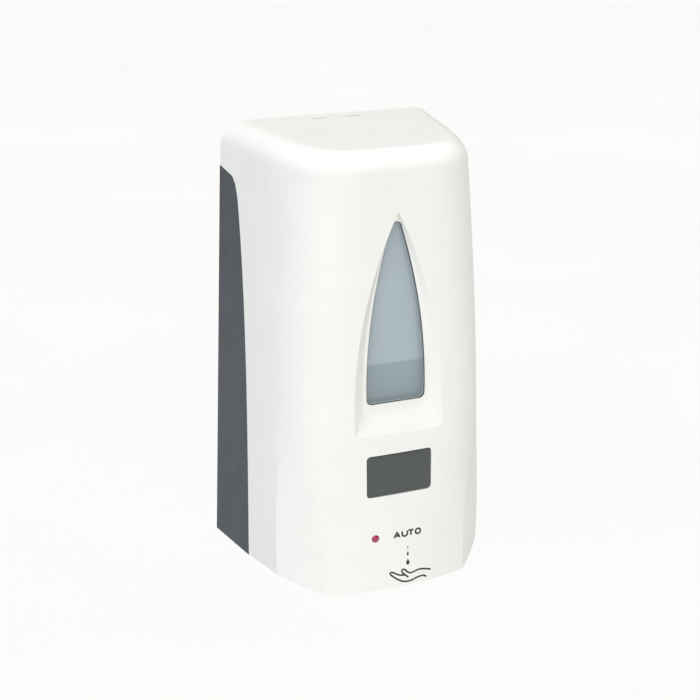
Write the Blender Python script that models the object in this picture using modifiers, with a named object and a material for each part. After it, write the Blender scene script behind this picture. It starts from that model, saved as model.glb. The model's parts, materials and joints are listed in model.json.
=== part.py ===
"""Wall-mounted automatic soap dispenser with a refillable tank and a peristaltic pump.

The frame is +X to the viewer's right, +Y into the wall and +Z up. The origin is the middle of the wall face.
Sizes here are in millimetres, and places are given as (x, depth, height): x from the middle plane, depth
forward from the wall and height up from the bottom edge. at() turns them into metres in the frame.
"""

import math

import bmesh
import bpy
from mathutils import Matrix, Vector

MM = 0.001
GAP = 0.3

# The outer body.
HEIGHT = 270.0
WALL_HALF_BOTTOM = 81.5
WALL_HALF_TOP = 70.7
SIDE_DEPTH = 82.4
SIDE_HALF = 68.8
SIDE_HALF_HEIGHT = 55.0
SIDE_HALF_CURVE = 2.57e-4
FRONT_DEPTH_TOP = 107.1
FRONT_LEAN = 9.0
FRONT_LEAN_HEIGHT = 235.0
FRONT_HALF = 46.4
FRONT_BOW = 7.9
CHAMFER_BULGE = 0.75
ROUND_START = 30.0
ROUND_POWER = 4.0
ROUND_CORNER = math.radians(50)
CREASE_FADE = (10.0, 110.0)
TOP_SLOPE = 0.0275
TOP_ROUND_SIDE = 14.8
TOP_ROUND_FRONT = 11.8
WALL = 2.5

# The lower edge of the cover, seen from the side, as (depth, height).
COVER_FOOT = [(38, 0), (82.4, 3.3), (108.2, -2.6), (116.1, -1.8), (130, -1.8)]
FOOT_ROOM = 6.0

# The line where the dark housing meets the white cover, as depths at heights.
JOINT_BOTTOM = 44.7
JOINT_BELLY = 46.0
JOINT_TOP = 22.5
JOINT_TOP_HEIGHT = 236.0
HOUSING_TOP = 243.0

# The pointed recess and window in the front.
RIM_APEX = 232.5
RIM_BOTTOM = 99.0
RIM_HALF = 28.2
RIM_WIDEST = 112.0
LENS_APEX = 232.0
LENS_BOTTOM = 116.8
LENS_HALF = 18.6
LENS_WIDEST = 125.0
LENS_TIP = 225.8
LENS_TOP_DEPTH = 104.0
LENS_TILT = 0.018
FLOOR_MARGIN = 2.0
FLOOR_BOTTOM = 111.5

# The panel, the status light and the key slots.
PANEL_HALF = 20.8
PANEL_LOW = 59.9
PANEL_HIGH = 86.0
PANEL_CORNER = 2.2
LED_X = -15.8
LED_HEIGHT = 32.7
LED_RADIUS = 2.3
SLOT_DEPTH = 11.6
SLOT_INNER = 6.6
SLOT_OUTER = 15.8
SLOT_WIDTH = 2.0

# Joint axes, as (depth, height) for those along X and (x, height) for those along Y.
COVER_AXIS = (30.0, 4.0)
LID_AXIS = (38.0, 211.2)
DOOR_AXIS = (9.5, 2.2)
ROTOR_AXIS = (14.0, 38.0)
IDLER_DIRECTION = math.radians(188)
MOTOR_DIRECTION = math.radians(200)

# The pump and its gears.
PUMP_DEPTH = 76.0
MODULE = 0.8
ROTOR_TEETH = 36
IDLER_PINION_TEETH = 12
IDLER_WHEEL_TEETH = 32
MOTOR_TEETH = 10
PRESSURE_ANGLE = math.radians(20)
BACKLASH = 0.22
ROLLER_ORBIT = 9.0
ROLLER_RADIUS = 4.0
TUBE_RADIUS = 2.5
TUBE_ORBIT = 15.7
TUBE_BEND = 8.0
TANK_LOW = 65.0
TANK_HIGH = 205.0
TANK_WALL = 2.0
SIGHT = (87.5, 99.6)
SOAP_LEVEL = 141.5
SHELF = (62.0, 64.5)
TRAY = (1.5, 4.0)
BOARD = (98.2, 99.8)
CASE = (48.3, 64.0)
CELL_PITCH = 15.4
VALVE_X = -18.0
BACKING_DEPTH = 101.0
LENS_SEAT = 102.6
LUG_FOOT = 254.6
BOSSES = [(-50, 14), (50, 14), (-50, 54), (50, 54)]
KEYHOLES = [(-45, 190), (45, 190), (-45, 80), (45, 80)]
GEARBOX_SCREWS = [(-33.5, 21), (-33.5, 52.5)]

# Colour, roughness and metallic value of each look.
LOOKS = {
    "white_plastic": ((0.86, 0.87, 0.85), 0.3, 0.0),
    "dark_plastic": ((0.085, 0.09, 0.1), 0.4, 0.0),
    "smoked_plastic": ((0.08, 0.09, 0.09), 0.2, 0.0),
    "grey_plastic": ((0.45, 0.47, 0.49), 0.5, 0.0),
    "clear_plastic": ((0.4, 0.5, 0.56), 0.1, 0.0),
    "tank_plastic": ((0.75, 0.8, 0.84), 0.3, 0.0),
    "soap": ((0.35, 0.45, 0.5), 0.15, 0.0),
    "red_lens": ((0.6, 0.02, 0.12), 0.15, 0.0),
    "steel": ((0.6, 0.6, 0.6), 0.3, 1.0),
    "brass": ((0.75, 0.6, 0.3), 0.35, 1.0),
    "acetal": ((0.8, 0.8, 0.76), 0.45, 0.0),
    "rubber": ((0.03, 0.03, 0.03), 0.8, 0.0),
    "silicone": ((0.8, 0.82, 0.8), 0.5, 0.0),
    "board_green": ((0.02, 0.2, 0.08), 0.5, 0.0),
    "cell_jacket": ((0.1, 0.25, 0.5), 0.4, 0.2),
}

# The world directions of an outline's two coordinates.
PLANES = {
    "plan": (Vector((1, 0, 0)), Vector((0, -1, 0))),
    "front": (Vector((1, 0, 0)), Vector((0, 0, 1))),
    "side": (Vector((0, -1, 0)), Vector((0, 0, 1))),
}
ALONG = {"x": Vector((1, 0, 0)), "forward": Vector((0, -1, 0)), "up": Vector((0, 0, 1))}


def clear_scene():
    for old in list(bpy.data.objects):
        bpy.data.objects.remove(old, do_unlink=True)


def new_collection(name):
    collection = bpy.data.collections.new(name)
    bpy.context.scene.collection.children.link(collection)
    return collection


def at(x, depth, height):
    """The frame's position, in metres, of a place given in millimetres."""
    return Vector((x, -depth, height - HEIGHT / 2)) * MM


def material(look):
    """The look's material, made the first time it is asked for."""
    made = bpy.data.materials.get(look)
    if made:
        return made
    colour, roughness, metallic = LOOKS[look]
    made = bpy.data.materials.new(look)
    made.use_nodes = True
    shader = made.node_tree.nodes["Principled BSDF"]
    shader.inputs["Base Color"].default_value = (*colour, 1)
    shader.inputs["Roughness"].default_value = roughness
    shader.inputs["Metallic"].default_value = metallic
    return made


def piece(name, mesh, matrix, look, smooth=35):
    """An object of the mesh: a sub-part when it has a look, or a helper for cutting and joining."""
    made = bpy.data.objects.new(name, mesh)
    made.matrix_world = matrix
    if look:
        mesh.materials.append(material(look).copy())
        mesh.materials[0].name = name
        parts.objects.link(made)
        mesh.shade_smooth()
        mesh.set_sharp_from_angle(angle=math.radians(smooth))
    else:
        cutters.objects.link(made)
        made.hide_render = True
        made.display_type = "WIRE"
    return made


def mesh_from(bm, name):
    mesh = bpy.data.meshes.new(name)
    bmesh.ops.recalc_face_normals(bm, faces=bm.faces)
    bm.to_mesh(mesh)
    bm.free()
    return mesh


def box(name, low, high, look=None, bevel=0.0):
    """A block between two opposite corners."""
    a, b = at(*low), at(*high)
    middle = (a + b) / 2
    bm = bmesh.new()
    size = [abs(b[i] - a[i]) for i in range(3)]
    bmesh.ops.create_cube(bm, size=1, matrix=Matrix.Diagonal((*size, 1)))
    made = piece(name, mesh_from(bm, name), Matrix.Translation(middle), look)
    if bevel:
        edges = made.modifiers.new("Rounded edges", "BEVEL")
        edges.width = bevel * MM
        edges.segments = 2
    return made


def rod(name, start, end, radius, look=None, sides=20, end_radius=None):
    """A cylinder, or a cone with its own end radius, from one place to another."""
    a, b = at(*start), at(*end)
    bm = bmesh.new()
    bmesh.ops.create_cone(
        bm,
        cap_ends=True,
        segments=sides,
        radius1=radius * MM,
        radius2=(radius if end_radius is None else end_radius) * MM,
        depth=(b - a).length,
    )
    turn = (b - a).to_track_quat("Z", "Y").to_matrix().to_4x4()
    return piece(name, mesh_from(bm, name), Matrix.Translation((a + b) / 2) @ turn, look)


def turned(name, profile, foot, along, look=None, steps=20):
    """A profile of (radius, distance) points, listed from top to bottom, turned about a line at the foot."""
    bm = bmesh.new()
    corners = [bm.verts.new((radius * MM, 0, along_it * MM)) for radius, along_it in profile]
    for first, second in zip(corners, corners[1:]):
        bm.edges.new((first, second))
    if profile[0][0] > 0:
        bm.edges.new((corners[-1], corners[0]))
    mesh = bpy.data.meshes.new(name)
    bm.to_mesh(mesh)
    bm.free()
    turn = ALONG[along].to_track_quat("Z", "Y").to_matrix().to_4x4()
    made = piece(name, mesh, Matrix.Translation(at(*foot)) @ turn, look)
    screw = made.modifiers.new("Turned", "SCREW")
    screw.steps = steps
    screw.render_steps = steps
    screw.use_merge_vertices = True
    screw.merge_threshold = 0.00001
    return made


def flat(name, outline, plane, low, high, look=None, holes=()):
    """A plate of an outline, and holes, given in a plane's coordinates, from low to high across the plane."""
    curve = bpy.data.curves.new(name, "CURVE")
    curve.dimensions = "2D"
    curve.fill_mode = "BOTH"
    curve.extrude = (high - low) / 2 * MM
    for points in (outline, *holes):
        spline = curve.splines.new("POLY")
        spline.points.add(len(points) - 1)
        for point, (u, v) in zip(spline.points, points):
            point.co = (u * MM, v * MM, 0, 1)
        spline.use_cyclic_u = True
    u, v = PLANES[plane]
    middle = (low + high) / 2
    places = {"plan": at(0, 0, middle), "front": at(0, middle, 0), "side": at(middle, 0, 0)}
    matrix = Matrix((u, v, u.cross(v))).transposed().to_4x4()
    matrix.translation = places[plane]
    guide = bpy.data.objects.new(name + "_outline", curve)
    cutters.objects.link(guide)
    mesh = bpy.data.meshes.new_from_object(guide.evaluated_get(bpy.context.evaluated_depsgraph_get()))
    bpy.data.objects.remove(guide)
    bm = bmesh.new()
    bm.from_mesh(mesh)
    bmesh.ops.remove_doubles(bm, verts=bm.verts, dist=0.000001)
    mesh = mesh_from(bm, name)
    mesh.name = name
    return piece(name, mesh, matrix, look)


def combine(target, operation, *others):
    """Boolean of the target with each of the others, in order."""
    for other in others:
        boolean = target.modifiers.new(operation.title(), "BOOLEAN")
        boolean.operation = operation
        boolean.object = other
    return target


def circle(u, v, radius, sides=24):
    turns = [math.tau * k / sides for k in range(sides)]
    return [(u + radius * math.cos(turn), v + radius * math.sin(turn)) for turn in turns]


def rounded_rectangle(low, high, radius, steps=3):
    """Corner points of a rectangle from low to high, with each corner an arc."""
    points = []
    centres = (
        (high[0] - radius, high[1] - radius),
        (low[0] + radius, high[1] - radius),
        (low[0] + radius, low[1] + radius),
        (high[0] - radius, low[1] + radius),
    )
    for quarter, (u, v) in enumerate(centres):
        for step in range(steps + 1):
            turn = math.pi / 2 * (quarter + step / steps)
            points.append((u + radius * math.cos(turn), v + radius * math.sin(turn)))
    return points


def mirrored(half):
    """A closed outline from its right half."""
    return half + [(-x, v) for x, v in reversed(half) if x > 0.001]


# The body's surface: a plan outline that changes with height, under a rounded top.


def wall_half(height):
    return WALL_HALF_BOTTOM + (WALL_HALF_TOP - WALL_HALF_BOTTOM) * height / HEIGHT


def side_half(height):
    return SIDE_HALF - SIDE_HALF_CURVE * (height - SIDE_HALF_HEIGHT) ** 2


def front_depth(height):
    return FRONT_DEPTH_TOP + FRONT_LEAN * max(1 - height / FRONT_LEAN_HEIGHT, 0) ** 1.2


def crease(height):
    """How sharp the two creases of each side are: 1 at the bottom and 0 where they have faded out."""
    low, high = CREASE_FADE
    left = min(max((high - height) / (high - low), 0), 1)
    return left * left * (3 - 2 * left)


def side_line(height, depth):
    """Half the width along the straight side, which narrows towards the front."""
    return wall_half(height) - (wall_half(height) - side_half(height)) * depth / SIDE_DEPTH


def creased_outline(height, t):
    front = front_depth(height)
    corner = Vector((FRONT_HALF, front - FRONT_BOW))
    if t <= 1:
        return Vector((side_line(height, SIDE_DEPTH * t), SIDE_DEPTH * t))
    if t <= 2:
        start = Vector((side_half(height), SIDE_DEPTH))
        along = corner - start
        outward = Vector((along.y, -along.x)).normalized()
        return start + along * (t - 1) + outward * (4 * CHAMFER_BULGE * (t - 1) * (2 - t))
    left = 3 - t
    return Vector((FRONT_HALF * left, front - FRONT_BOW * left * left))


def round_outline(height, t):
    front = front_depth(height)
    if t <= 1:
        depth = SIDE_DEPTH * t
        share = max((depth - ROUND_START) / (front - ROUND_START), 0)
        return Vector((side_line(height, depth) * (1 - share**ROUND_POWER) ** (1 / ROUND_POWER), depth))
    start = math.asin(((SIDE_DEPTH - ROUND_START) / (front - ROUND_START)) ** (ROUND_POWER / 2))
    if t <= 2:
        turn = start + (ROUND_CORNER - start) * (t - 1)
    else:
        share = math.cos(ROUND_CORNER) ** (2 / ROUND_POWER) * (3 - t)
        turn = math.acos(share ** (ROUND_POWER / 2))
    depth = ROUND_START + (front - ROUND_START) * math.sin(turn) ** (2 / ROUND_POWER)
    return Vector((side_line(height, depth) * max(math.cos(turn), 0) ** (2 / ROUND_POWER), depth))


def outline(height, t):
    """Right half of the plan outline: t is 0 at the wall, 1 and 2 at the creases, 3 at the front's middle."""
    return round_outline(height, t).lerp(creased_outline(height, t), crease(height))


def inset_outline(height, t, inset):
    """The outline moved inwards, square to itself, with its ends kept on the wall and on the middle plane."""
    point = outline(height, t)
    if t <= 0:
        return Vector((point.x - inset, 0))
    if t >= 3:
        return Vector((0, point.y - inset))
    along = outline(height, min(t + 0.02, 3)) - outline(height, max(t - 0.02, 0))
    return point + Vector((-along.y, along.x)).normalized() * inset


def top_height(depth):
    return HEIGHT - TOP_SLOPE * depth


def top_round(t):
    share = min(max((t - 0.8) / 1.7, 0), 1)
    return TOP_ROUND_SIDE + (TOP_ROUND_FRONT - TOP_ROUND_SIDE) * share * share * (3 - 2 * share)


COLUMNS = [0, 0.25, 0.5, 0.75, 1, 1.25, 1.5, 1.75, 2, 2.2, 2.4, 2.6, 2.8, 3]
WALL_RINGS = [0, 0.06, 0.13, 0.2, 0.28, 0.37, 0.47, 0.58, 0.69, 0.8, 0.9]
ROUND_RINGS = 6
CAP_RINGS = 4


def body_column(t, inset):
    """(x, depth, height) up one column of the right half, from the bottom edge to the middle of the top."""
    radius = top_round(t) - inset
    shoulder = top_height(outline(HEIGHT - 25, t).y) - top_round(t)
    points = []
    for share in WALL_RINGS:
        height = shoulder * share
        points.append((*inset_outline(height, t, inset), height))
    for ring in range(ROUND_RINGS + 1):
        turn = math.pi / 2 * ring / ROUND_RINGS
        plan = inset_outline(shoulder, t, inset + radius * (1 - math.cos(turn)))
        points.append((*plan, top_height(plan.y) - inset - radius * (1 - math.sin(turn))))
    x, depth, _ = points[-1]
    spine = min(depth, front_depth(HEIGHT) - TOP_ROUND_FRONT - 12)
    for ring in range(1, CAP_RINGS + 1):
        share = ring / CAP_RINGS
        between = depth + (spine - depth) * share
        points.append((x * (1 - share), between, top_height(between) - inset))
    return points


def body_solid(name, inset, behind=0.0, below=0.0, look=None):
    """The closed body inside its surface by the inset, reaching behind the wall and below the bottom edge."""
    half = [body_column(t, inset) for t in COLUMNS]
    columns = [[(-x, d, h) for x, d, h in column] for column in half] + half[-2::-1]
    for column in columns:
        column[0] = (column[0][0], column[0][1], -below)
    for column in (columns[0], columns[-1]):
        column[:] = [(x, -behind, h) for x, _, h in column]
    bm = bmesh.new()
    grid = [[bm.verts.new(at(*point)) for point in column] for column in columns]
    for left, right in zip(grid, grid[1:]):
        for low in range(len(left) - 1):
            bm.faces.new((left[low], right[low], right[low + 1], left[low + 1]))
    bm.faces.new([column[0] for column in grid])
    bm.faces.new(grid[0] + grid[-1][-2::-1])
    bmesh.ops.remove_doubles(bm, verts=bm.verts, dist=0.00001)
    bmesh.ops.dissolve_degenerate(bm, edges=bm.edges, dist=0.00001)
    return piece(name, mesh_from(bm, name), Matrix(), look, smooth=22)


def joint_depth(height):
    """Depth of the line between housing and cover."""
    share = height / JOINT_TOP_HEIGHT
    return JOINT_BOTTOM + (JOINT_BELLY - JOINT_BOTTOM) * 4 * share * (1 - share) - (
        JOINT_BOTTOM - JOINT_TOP
    ) * share**2.6


def back_region(offset, toe=0.0):
    """Side view of the housing's space, grown forward and upward by an offset, less a relief at the foot."""
    heights = [6, 20, 45, 75, 105, 135, 160, 185, 205, 220]
    points = [(-5, -9), (joint_depth(0) + offset - toe, -9)]
    points += [(joint_depth(height) + offset, height) for height in heights]
    points += [
        (joint_depth(230) + offset - 0.3, 230),
        (JOINT_TOP + offset - 1.6, JOINT_TOP_HEIGHT + offset * 0.5),
        (JOINT_TOP + offset - 5.5, JOINT_TOP_HEIGHT + 3.6 + offset),
        (-5, HOUSING_TOP + offset + 1.5),
    ]
    return points


def ogive(apex, widest, half, height):
    """Half the width, at a height, of a pointed arch whose sides are arcs."""
    rise = apex - widest
    radius = (rise * rise + half * half) / (2 * half)
    return half - radius + math.sqrt(max(radius * radius - (height - widest) ** 2, 0))


def ogive_half(apex, widest, half, bottom, corner, grow, tip=None, steps=9):
    """Right half of a pointed arch, from its bottom corner up to its tip, grown on every side."""
    low = bottom - grow
    edge = ogive(apex, widest, half, bottom) + grow
    points = []
    for step in range(5):
        turn = math.pi / 2 * (step / 4 - 1)
        points.append((edge - corner + corner * math.cos(turn), low + corner + corner * math.sin(turn)))
    top = apex if tip is None else tip - 3
    start = low + corner
    for step in range(1, steps + 1):
        height = start + (top - start) * step / steps
        points.append((ogive(apex, widest, half, height) + grow, height))
    if tip is None:
        points[-1] = (0, apex + grow)
    else:
        points.append((1.6 + grow * 0.7, tip - 0.9 + grow * 0.7))
        points.append((0, tip + grow))
    return points


def rim_outline():
    return ogive_half(RIM_APEX, RIM_WIDEST, RIM_HALF, RIM_BOTTOM, 0.6, 0)


def floor_outline():
    half = LENS_HALF + FLOOR_MARGIN
    return ogive_half(LENS_APEX - 1.5, LENS_WIDEST, half, FLOOR_BOTTOM, 9.0, 0)


def lens_outline(grow):
    return ogive_half(LENS_APEX, LENS_WIDEST, LENS_HALF, LENS_BOTTOM, 3.2, grow, LENS_TIP)


def lens_depth(height):
    return LENS_TOP_DEPTH + (LENS_TIP - height) * LENS_TILT


def surface_depth(x, height):
    """Depth of the front surface at a place seen from the front."""
    low, high = 1.2, 3.0
    for _ in range(30):
        t = (low + high) / 2
        if outline(height, t).x > abs(x):
            low = t
        else:
            high = t
    return outline(height, high).y


def recess_cutter():
    """The scooped space from the flat around the window to the rim on the surface, drawn out past the rim."""
    rings = [[], [], []]
    bm = bmesh.new()
    for (fx, fh), (rx, rh) in zip(mirrored(floor_outline()), mirrored(rim_outline())):
        floor = Vector((fx, lens_depth(fh), fh))
        rim = Vector((rx, surface_depth(rx, rh), rh))
        for ring, place in zip(rings, (floor, rim, Vector((rx, 140, rh)))):
            ring.append(bm.verts.new(at(*place)))
    for inner, outer in zip(rings, rings[1:]):
        for k, corner in enumerate(inner):
            after = (k + 1) % len(inner)
            bm.faces.new((corner, inner[after], outer[after], outer[k]))
    bm.faces.new(rings[0])
    bm.faces.new(rings[-1])
    return piece("recess_cutter", mesh_from(bm, "recess_cutter"), Matrix(), None)


def make_cover():
    """The white cover: the body less the housing's space and a hollow, with the recess backed from inside."""
    cover = body_solid("front_cover", 0, below=FOOT_ROOM, look="white_plastic")
    hollow = body_solid("cover_hollow", WALL, behind=6, below=FOOT_ROOM + 2)
    backed = ogive_half(RIM_APEX, RIM_WIDEST, RIM_HALF, RIM_BOTTOM, 3, 3)
    backing = flat("recess_backing", mirrored(backed), "front", BACKING_DEPTH, 130)
    lens_seat = flat("lens_seat", mirrored(lens_outline(3)), "front", 90, LENS_SEAT)
    combine(backing, "DIFFERENCE", lens_seat)
    combine(hollow, "DIFFERENCE", backing)
    rear = flat("cover_rear_cutter", back_region(GAP), "side", -100, 100)
    under = flat("foot_cutter", [(-10, -12), (130, -12), *reversed(COVER_FOOT), (-10, 0)], "side", -95, 95)
    combine(cover, "DIFFERENCE", recess_cutter(), rear, hollow, under)
    opening = flat("window_opening", mirrored(lens_outline(GAP)), "front", 90, 112)
    panel = flat("panel_opening", panel_outline(GAP), "front", 100, 130)
    light = rod("led_hole", (LED_X, 100, LED_HEIGHT), (LED_X, 130, LED_HEIGHT), LED_RADIUS + GAP)
    wall_clearance = box("wall_clearance", (-90, -5, -8), (90, 0.6, 280))
    combine(cover, "DIFFERENCE", opening, panel, light, wall_clearance)
    for side in (-1, 1):
        slot = box(
            f"key_slot_{side}",
            (side * SLOT_INNER, SLOT_DEPTH - SLOT_WIDTH / 2, 255),
            (side * SLOT_OUTER, SLOT_DEPTH + SLOT_WIDTH / 2, 280),
        )
        bore = rod(f"arm_bore_{side}", (side * 60, *COVER_AXIS), (side * 75, *COVER_AXIS), 1.8)
        combine(cover, "DIFFERENCE", slot)
        combine(cover, "UNION", hinge_arm(side), catch_lug(side))
        combine(cover, "DIFFERENCE", bore)
    return cover


def hinge_arm(side):
    """An arm from the cover's side wall back to the hinge axis, inside the housing."""
    depth, height = COVER_AXIS
    turns = [math.radians(90 + 22.5 * step) for step in range(9)]
    points = [(depth + 3.4 * math.cos(turn), height + 3.4 * math.sin(turn)) for turn in turns]
    points += [(72, 3.4), (72, 7.4)]
    return flat(f"hinge_arm_{side}", points, "side", *sorted((side * 66.2, side * 69.2)))


def catch_lug(side):
    """A lug that hangs from the cover's top, over the latch."""
    points = [(17, 268), (21, 268), (21, LUG_FOOT), (17, LUG_FOOT)]
    return flat(f"catch_lug_{side}", points, "side", *sorted((side * 19, side * 25)))


def panel_outline(grow):
    low = (-PANEL_HALF - grow, PANEL_LOW - grow)
    high = (PANEL_HALF + grow, PANEL_HIGH + grow)
    return rounded_rectangle(low, high, PANEL_CORNER + grow)


def make_window():
    """The window: its face fills the opening and its flange sits behind the cover's ledge."""
    lens = flat("window_lens", mirrored(lens_outline(0)), "front", BACKING_DEPTH + 0.6, 112, "clear_plastic")
    middle = (LENS_TIP + LENS_BOTTOM) / 2
    front = box("lens_front_cutter", (-40, lens_depth(middle), middle - 90), (40, 130, middle + 90))
    for corner in front.data.vertices:
        place = front.matrix_world @ corner.co
        corner.co.y -= LENS_TILT * (0 - place.z + (middle - HEIGHT / 2) * MM)
    flange = flat("lens_flange", mirrored(lens_outline(2.4)), "front", BACKING_DEPTH, LENS_SEAT - GAP)
    combine(lens, "DIFFERENCE", front)
    return combine(lens, "UNION", flange)


def make_panel():
    """The dark blank panel, curved with the front, with a flange behind the cover's wall."""
    panel = body_solid("front_panel", 0.15, look="smoked_plastic")
    plug = flat("panel_plug", panel_outline(0), "front", 100, 130)
    flange = body_solid("panel_flange", WALL + GAP, behind=6, below=6)
    combine(flange, "INTERSECT", flat("panel_flange_edge", panel_outline(2.5), "front", 99, 131))
    combine(plug, "UNION", flange)
    inner = body_solid("panel_inner", WALL + 1.8, behind=7, below=7)
    combine(panel, "INTERSECT", plug)
    return combine(panel, "DIFFERENCE", inner)


def make_led_lens():
    depth = surface_depth(LED_X, LED_HEIGHT)
    profile = [(0, 0.5), (1.2, 0.3), (LED_RADIUS, -0.3), (LED_RADIUS, -4.2), (0, -4.2)]
    return turned("led_lens", profile, (LED_X, depth, LED_HEIGHT), "forward", "red_lens")


def make_housing():
    """The dark wall housing: back, sides, top and bottom, with bosses, keyholes and a battery opening."""
    housing = body_solid("back_housing", 0, look="dark_plastic")
    region = flat("housing_region", back_region(0, toe=0.8), "side", -100, 100)
    hollow = body_solid("housing_hollow", WALL, behind=7, below=7)
    space = [(WALL, WALL), (70, WALL), (70, 222), (JOINT_TOP - 2, 233.5), (WALL, 240.2)]
    combine(hollow, "INTERSECT", flat("housing_space", space, "side", -99, 99))
    combine(housing, "INTERSECT", region)
    combine(housing, "DIFFERENCE", hollow)
    for k, (x, height) in enumerate(BOSSES):
        combine(housing, "UNION", rod(f"boss_{k}", (x, 1, height), (x, 42.6, height), 4.2, sides=12))
        combine(housing, "DIFFERENCE", rod(f"boss_bore_{k}", (x, 24, height), (x, 50, height), 1.6, sides=12))
    for k, (x, height) in enumerate(KEYHOLES):
        combine(housing, "DIFFERENCE", keyhole(f"keyhole_{k}", x, height))
    for side in (-1, 1):
        slot = box(f"arm_slot_{side}", (side * 65.6, 24.5, -2), (side * 71.4, 60, 9))
        ear = box(f"hinge_ear_{side}", (side * 59, 26, 1), (side * 64.3, 34, 9))
        door_ear = box(f"door_ear_{side}", (side * 33.5, 6.5, 1), (side * 39.5, 12.5, 5.4))
        post = box(f"latch_post_{side}", (side * 27, 5, 239), (side * 30.6, 17, 262))
        groove = box(f"latch_groove_{side}", (side * 25, 8.6, 246), (side * 28.9, 13.4, 270))
        combine(housing, "DIFFERENCE", slot)
        combine(housing, "UNION", ear, door_ear, post)
        combine(housing, "DIFFERENCE", groove)
    combine(housing, "UNION", rod("spring_peg", (0, 11, 241), (0, 11, 246), 1.6, sides=12))
    door = box("door_opening", (-33, 7, -2), (33, 34, 3.2))
    hinge = rod("hinge_bores", (-66, *COVER_AXIS), (66, *COVER_AXIS), 1.8)
    pin = rod("door_pin_bore", (-38, *DOOR_AXIS), (38, *DOOR_AXIS), 1.3)
    return combine(housing, "DIFFERENCE", door, hinge, pin)


def keyhole(name, x, height):
    """A keyhole through the back plate: a round entry below a narrow slot."""
    turns = [math.radians(150 - 300 * step / 12) for step in range(13)]
    points = [(x + 4.6 * math.sin(turn), height - 4.6 * math.cos(turn)) for turn in turns]
    top = height + 12
    points += [(x - 2.3, top - 1.2), (x - 1.3, top), (x + 1.3, top), (x + 2.3, top - 1.2)]
    return flat(name, points, "front", -3, 6)


def make_hinge_pins():
    for side, name in ((-1, "hinge_pin_left"), (1, "hinge_pin_right")):
        shank = rod(name, (side * 59.5, *COVER_AXIS), (side * 70.5, *COVER_AXIS), 1.5, "steel", sides=16)
        head = rod(name + "_head", (side * 69.6, *COVER_AXIS), (side * 70.8, *COVER_AXIS), 2.6)
        combine(shank, "UNION", head)


def make_latch():
    """The slider that a two-pronged key pushes down, and the spring under it."""
    slider = box("latch_slider", (-26.6, 7, 252), (26.6, 15, 257), "grey_plastic")
    tongues = box("latch_tongues", (-28.5, 9, 251), (28.5, 13, 258))
    combine(slider, "UNION", tongues)
    for side in (-1, 1):
        arm = box(f"latch_arm_{side}", (side * 19.5, 14, 251.6), (side * 24.5, 24, LUG_FOOT - 0.4))
        combine(slider, "UNION", arm)
    turns = 5
    steps = 10
    low, high = 243.8, 250.2
    points = []
    for step in range(turns * steps + 1):
        turn = math.tau * step / steps
        height = low + (high - low) * step / (turns * steps)
        points.append((2.7 * math.cos(turn), 11 + 2.7 * math.sin(turn), height))
    swept("latch_spring", points, 0.4, "steel", sides=6)


def swept(name, points, radius, look=None, sides=10):
    """A round bar along a path, with flat ends."""
    curve = bpy.data.curves.new(name, "CURVE")
    curve.dimensions = "3D"
    curve.bevel_mode = "OBJECT"
    section = bpy.data.curves.new(name + "_section", "CURVE")
    ring = section.splines.new("POLY")
    ring.points.add(sides - 1)
    for point, (u, v) in zip(ring.points, circle(0, 0, radius * MM, sides)):
        point.co = (u, v, 0, 1)
    ring.use_cyclic_u = True
    profile = bpy.data.objects.new(name + "_section", section)
    cutters.objects.link(profile)
    curve.bevel_object = profile
    curve.use_fill_caps = True
    path = curve.splines.new("POLY")
    path.points.add(len(points) - 1)
    for point, place in zip(path.points, points):
        point.co = (*at(*place), 1)
    guide = bpy.data.objects.new(name + "_path", curve)
    cutters.objects.link(guide)
    mesh = bpy.data.meshes.new_from_object(guide.evaluated_get(bpy.context.evaluated_depsgraph_get()))
    bpy.data.objects.remove(guide)
    bpy.data.objects.remove(profile)
    bm = bmesh.new()
    bm.from_mesh(mesh)
    bmesh.ops.remove_doubles(bm, verts=bm.verts, dist=0.000001)
    return piece(name, mesh_from(bm, name), Matrix(), look)


def make_chassis():
    """The tray, upright plate and tank shelf that carry the works."""
    rim = [(64.6, 45.3), (64.6, 73)]
    rim += [tuple(inset_outline(3, t, 3.9)) for t in (1.25, 1.5, 1.75, 2, 2.33, 2.66)]
    low, high = TRAY
    chassis = flat("chassis", mirrored(rim), "plan", low, high, "grey_plastic")
    plate = box("chassis_plate", (-56, 43, 3), (56, 46.5, SHELF[1] - 0.5))
    shelf = flat("chassis_shelf", mirrored([(54, 4), (53, 60), (48, 90), (42, 96)]), "plan", *SHELF)
    combine(chassis, "UNION", plate, shelf)
    for side in (-1, 1):
        post = box(f"board_post_{side}", (side * 33, 90, 3), (side * 41, BOARD[0] - GAP, 39))
        bore = rod(f"board_bore_{side}", (side * 37, 92, 24), (side * 37, 110, 24), 1.3, sides=12)
        near, far = sorted((side * 54, side * 56))
        gusset = flat(f"gusset_{side}", [(46, 30), (60, 62.5), (46, 62.5)], "side", near, far)
        combine(chassis, "UNION", post, gusset)
        combine(chassis, "DIFFERENCE", bore)
    for k, (x, height) in enumerate(BOSSES):
        hole = rod(f"chassis_hole_{k}", (x, 40, height), (x, 50, height), 1.7, sides=12)
        combine(chassis, "DIFFERENCE", hole)
    for k, (x, height) in enumerate(GEARBOX_SCREWS):
        hole = rod(f"gearbox_hole_{k}", (x, 40, height), (x, 50, height), 1.4, sides=12)
        combine(chassis, "DIFFERENCE", hole)
    nozzle = rod("nozzle_hole", (0, PUMP_DEPTH, -2), (0, PUMP_DEPTH, 8), 4.5)
    valve = rod("valve_hole", (VALVE_X, PUMP_DEPTH, 50), (VALVE_X, PUMP_DEPTH, 70), 7.3)
    window = box("sensor_opening", (4.5, 103.9, -2), (25.6, 111.1, 8))
    switch = box("switch_opening", (39.2, 58.4, -2), (46.8, 63.6, 8))
    return combine(chassis, "DIFFERENCE", nozzle, valve, window, switch)


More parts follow.
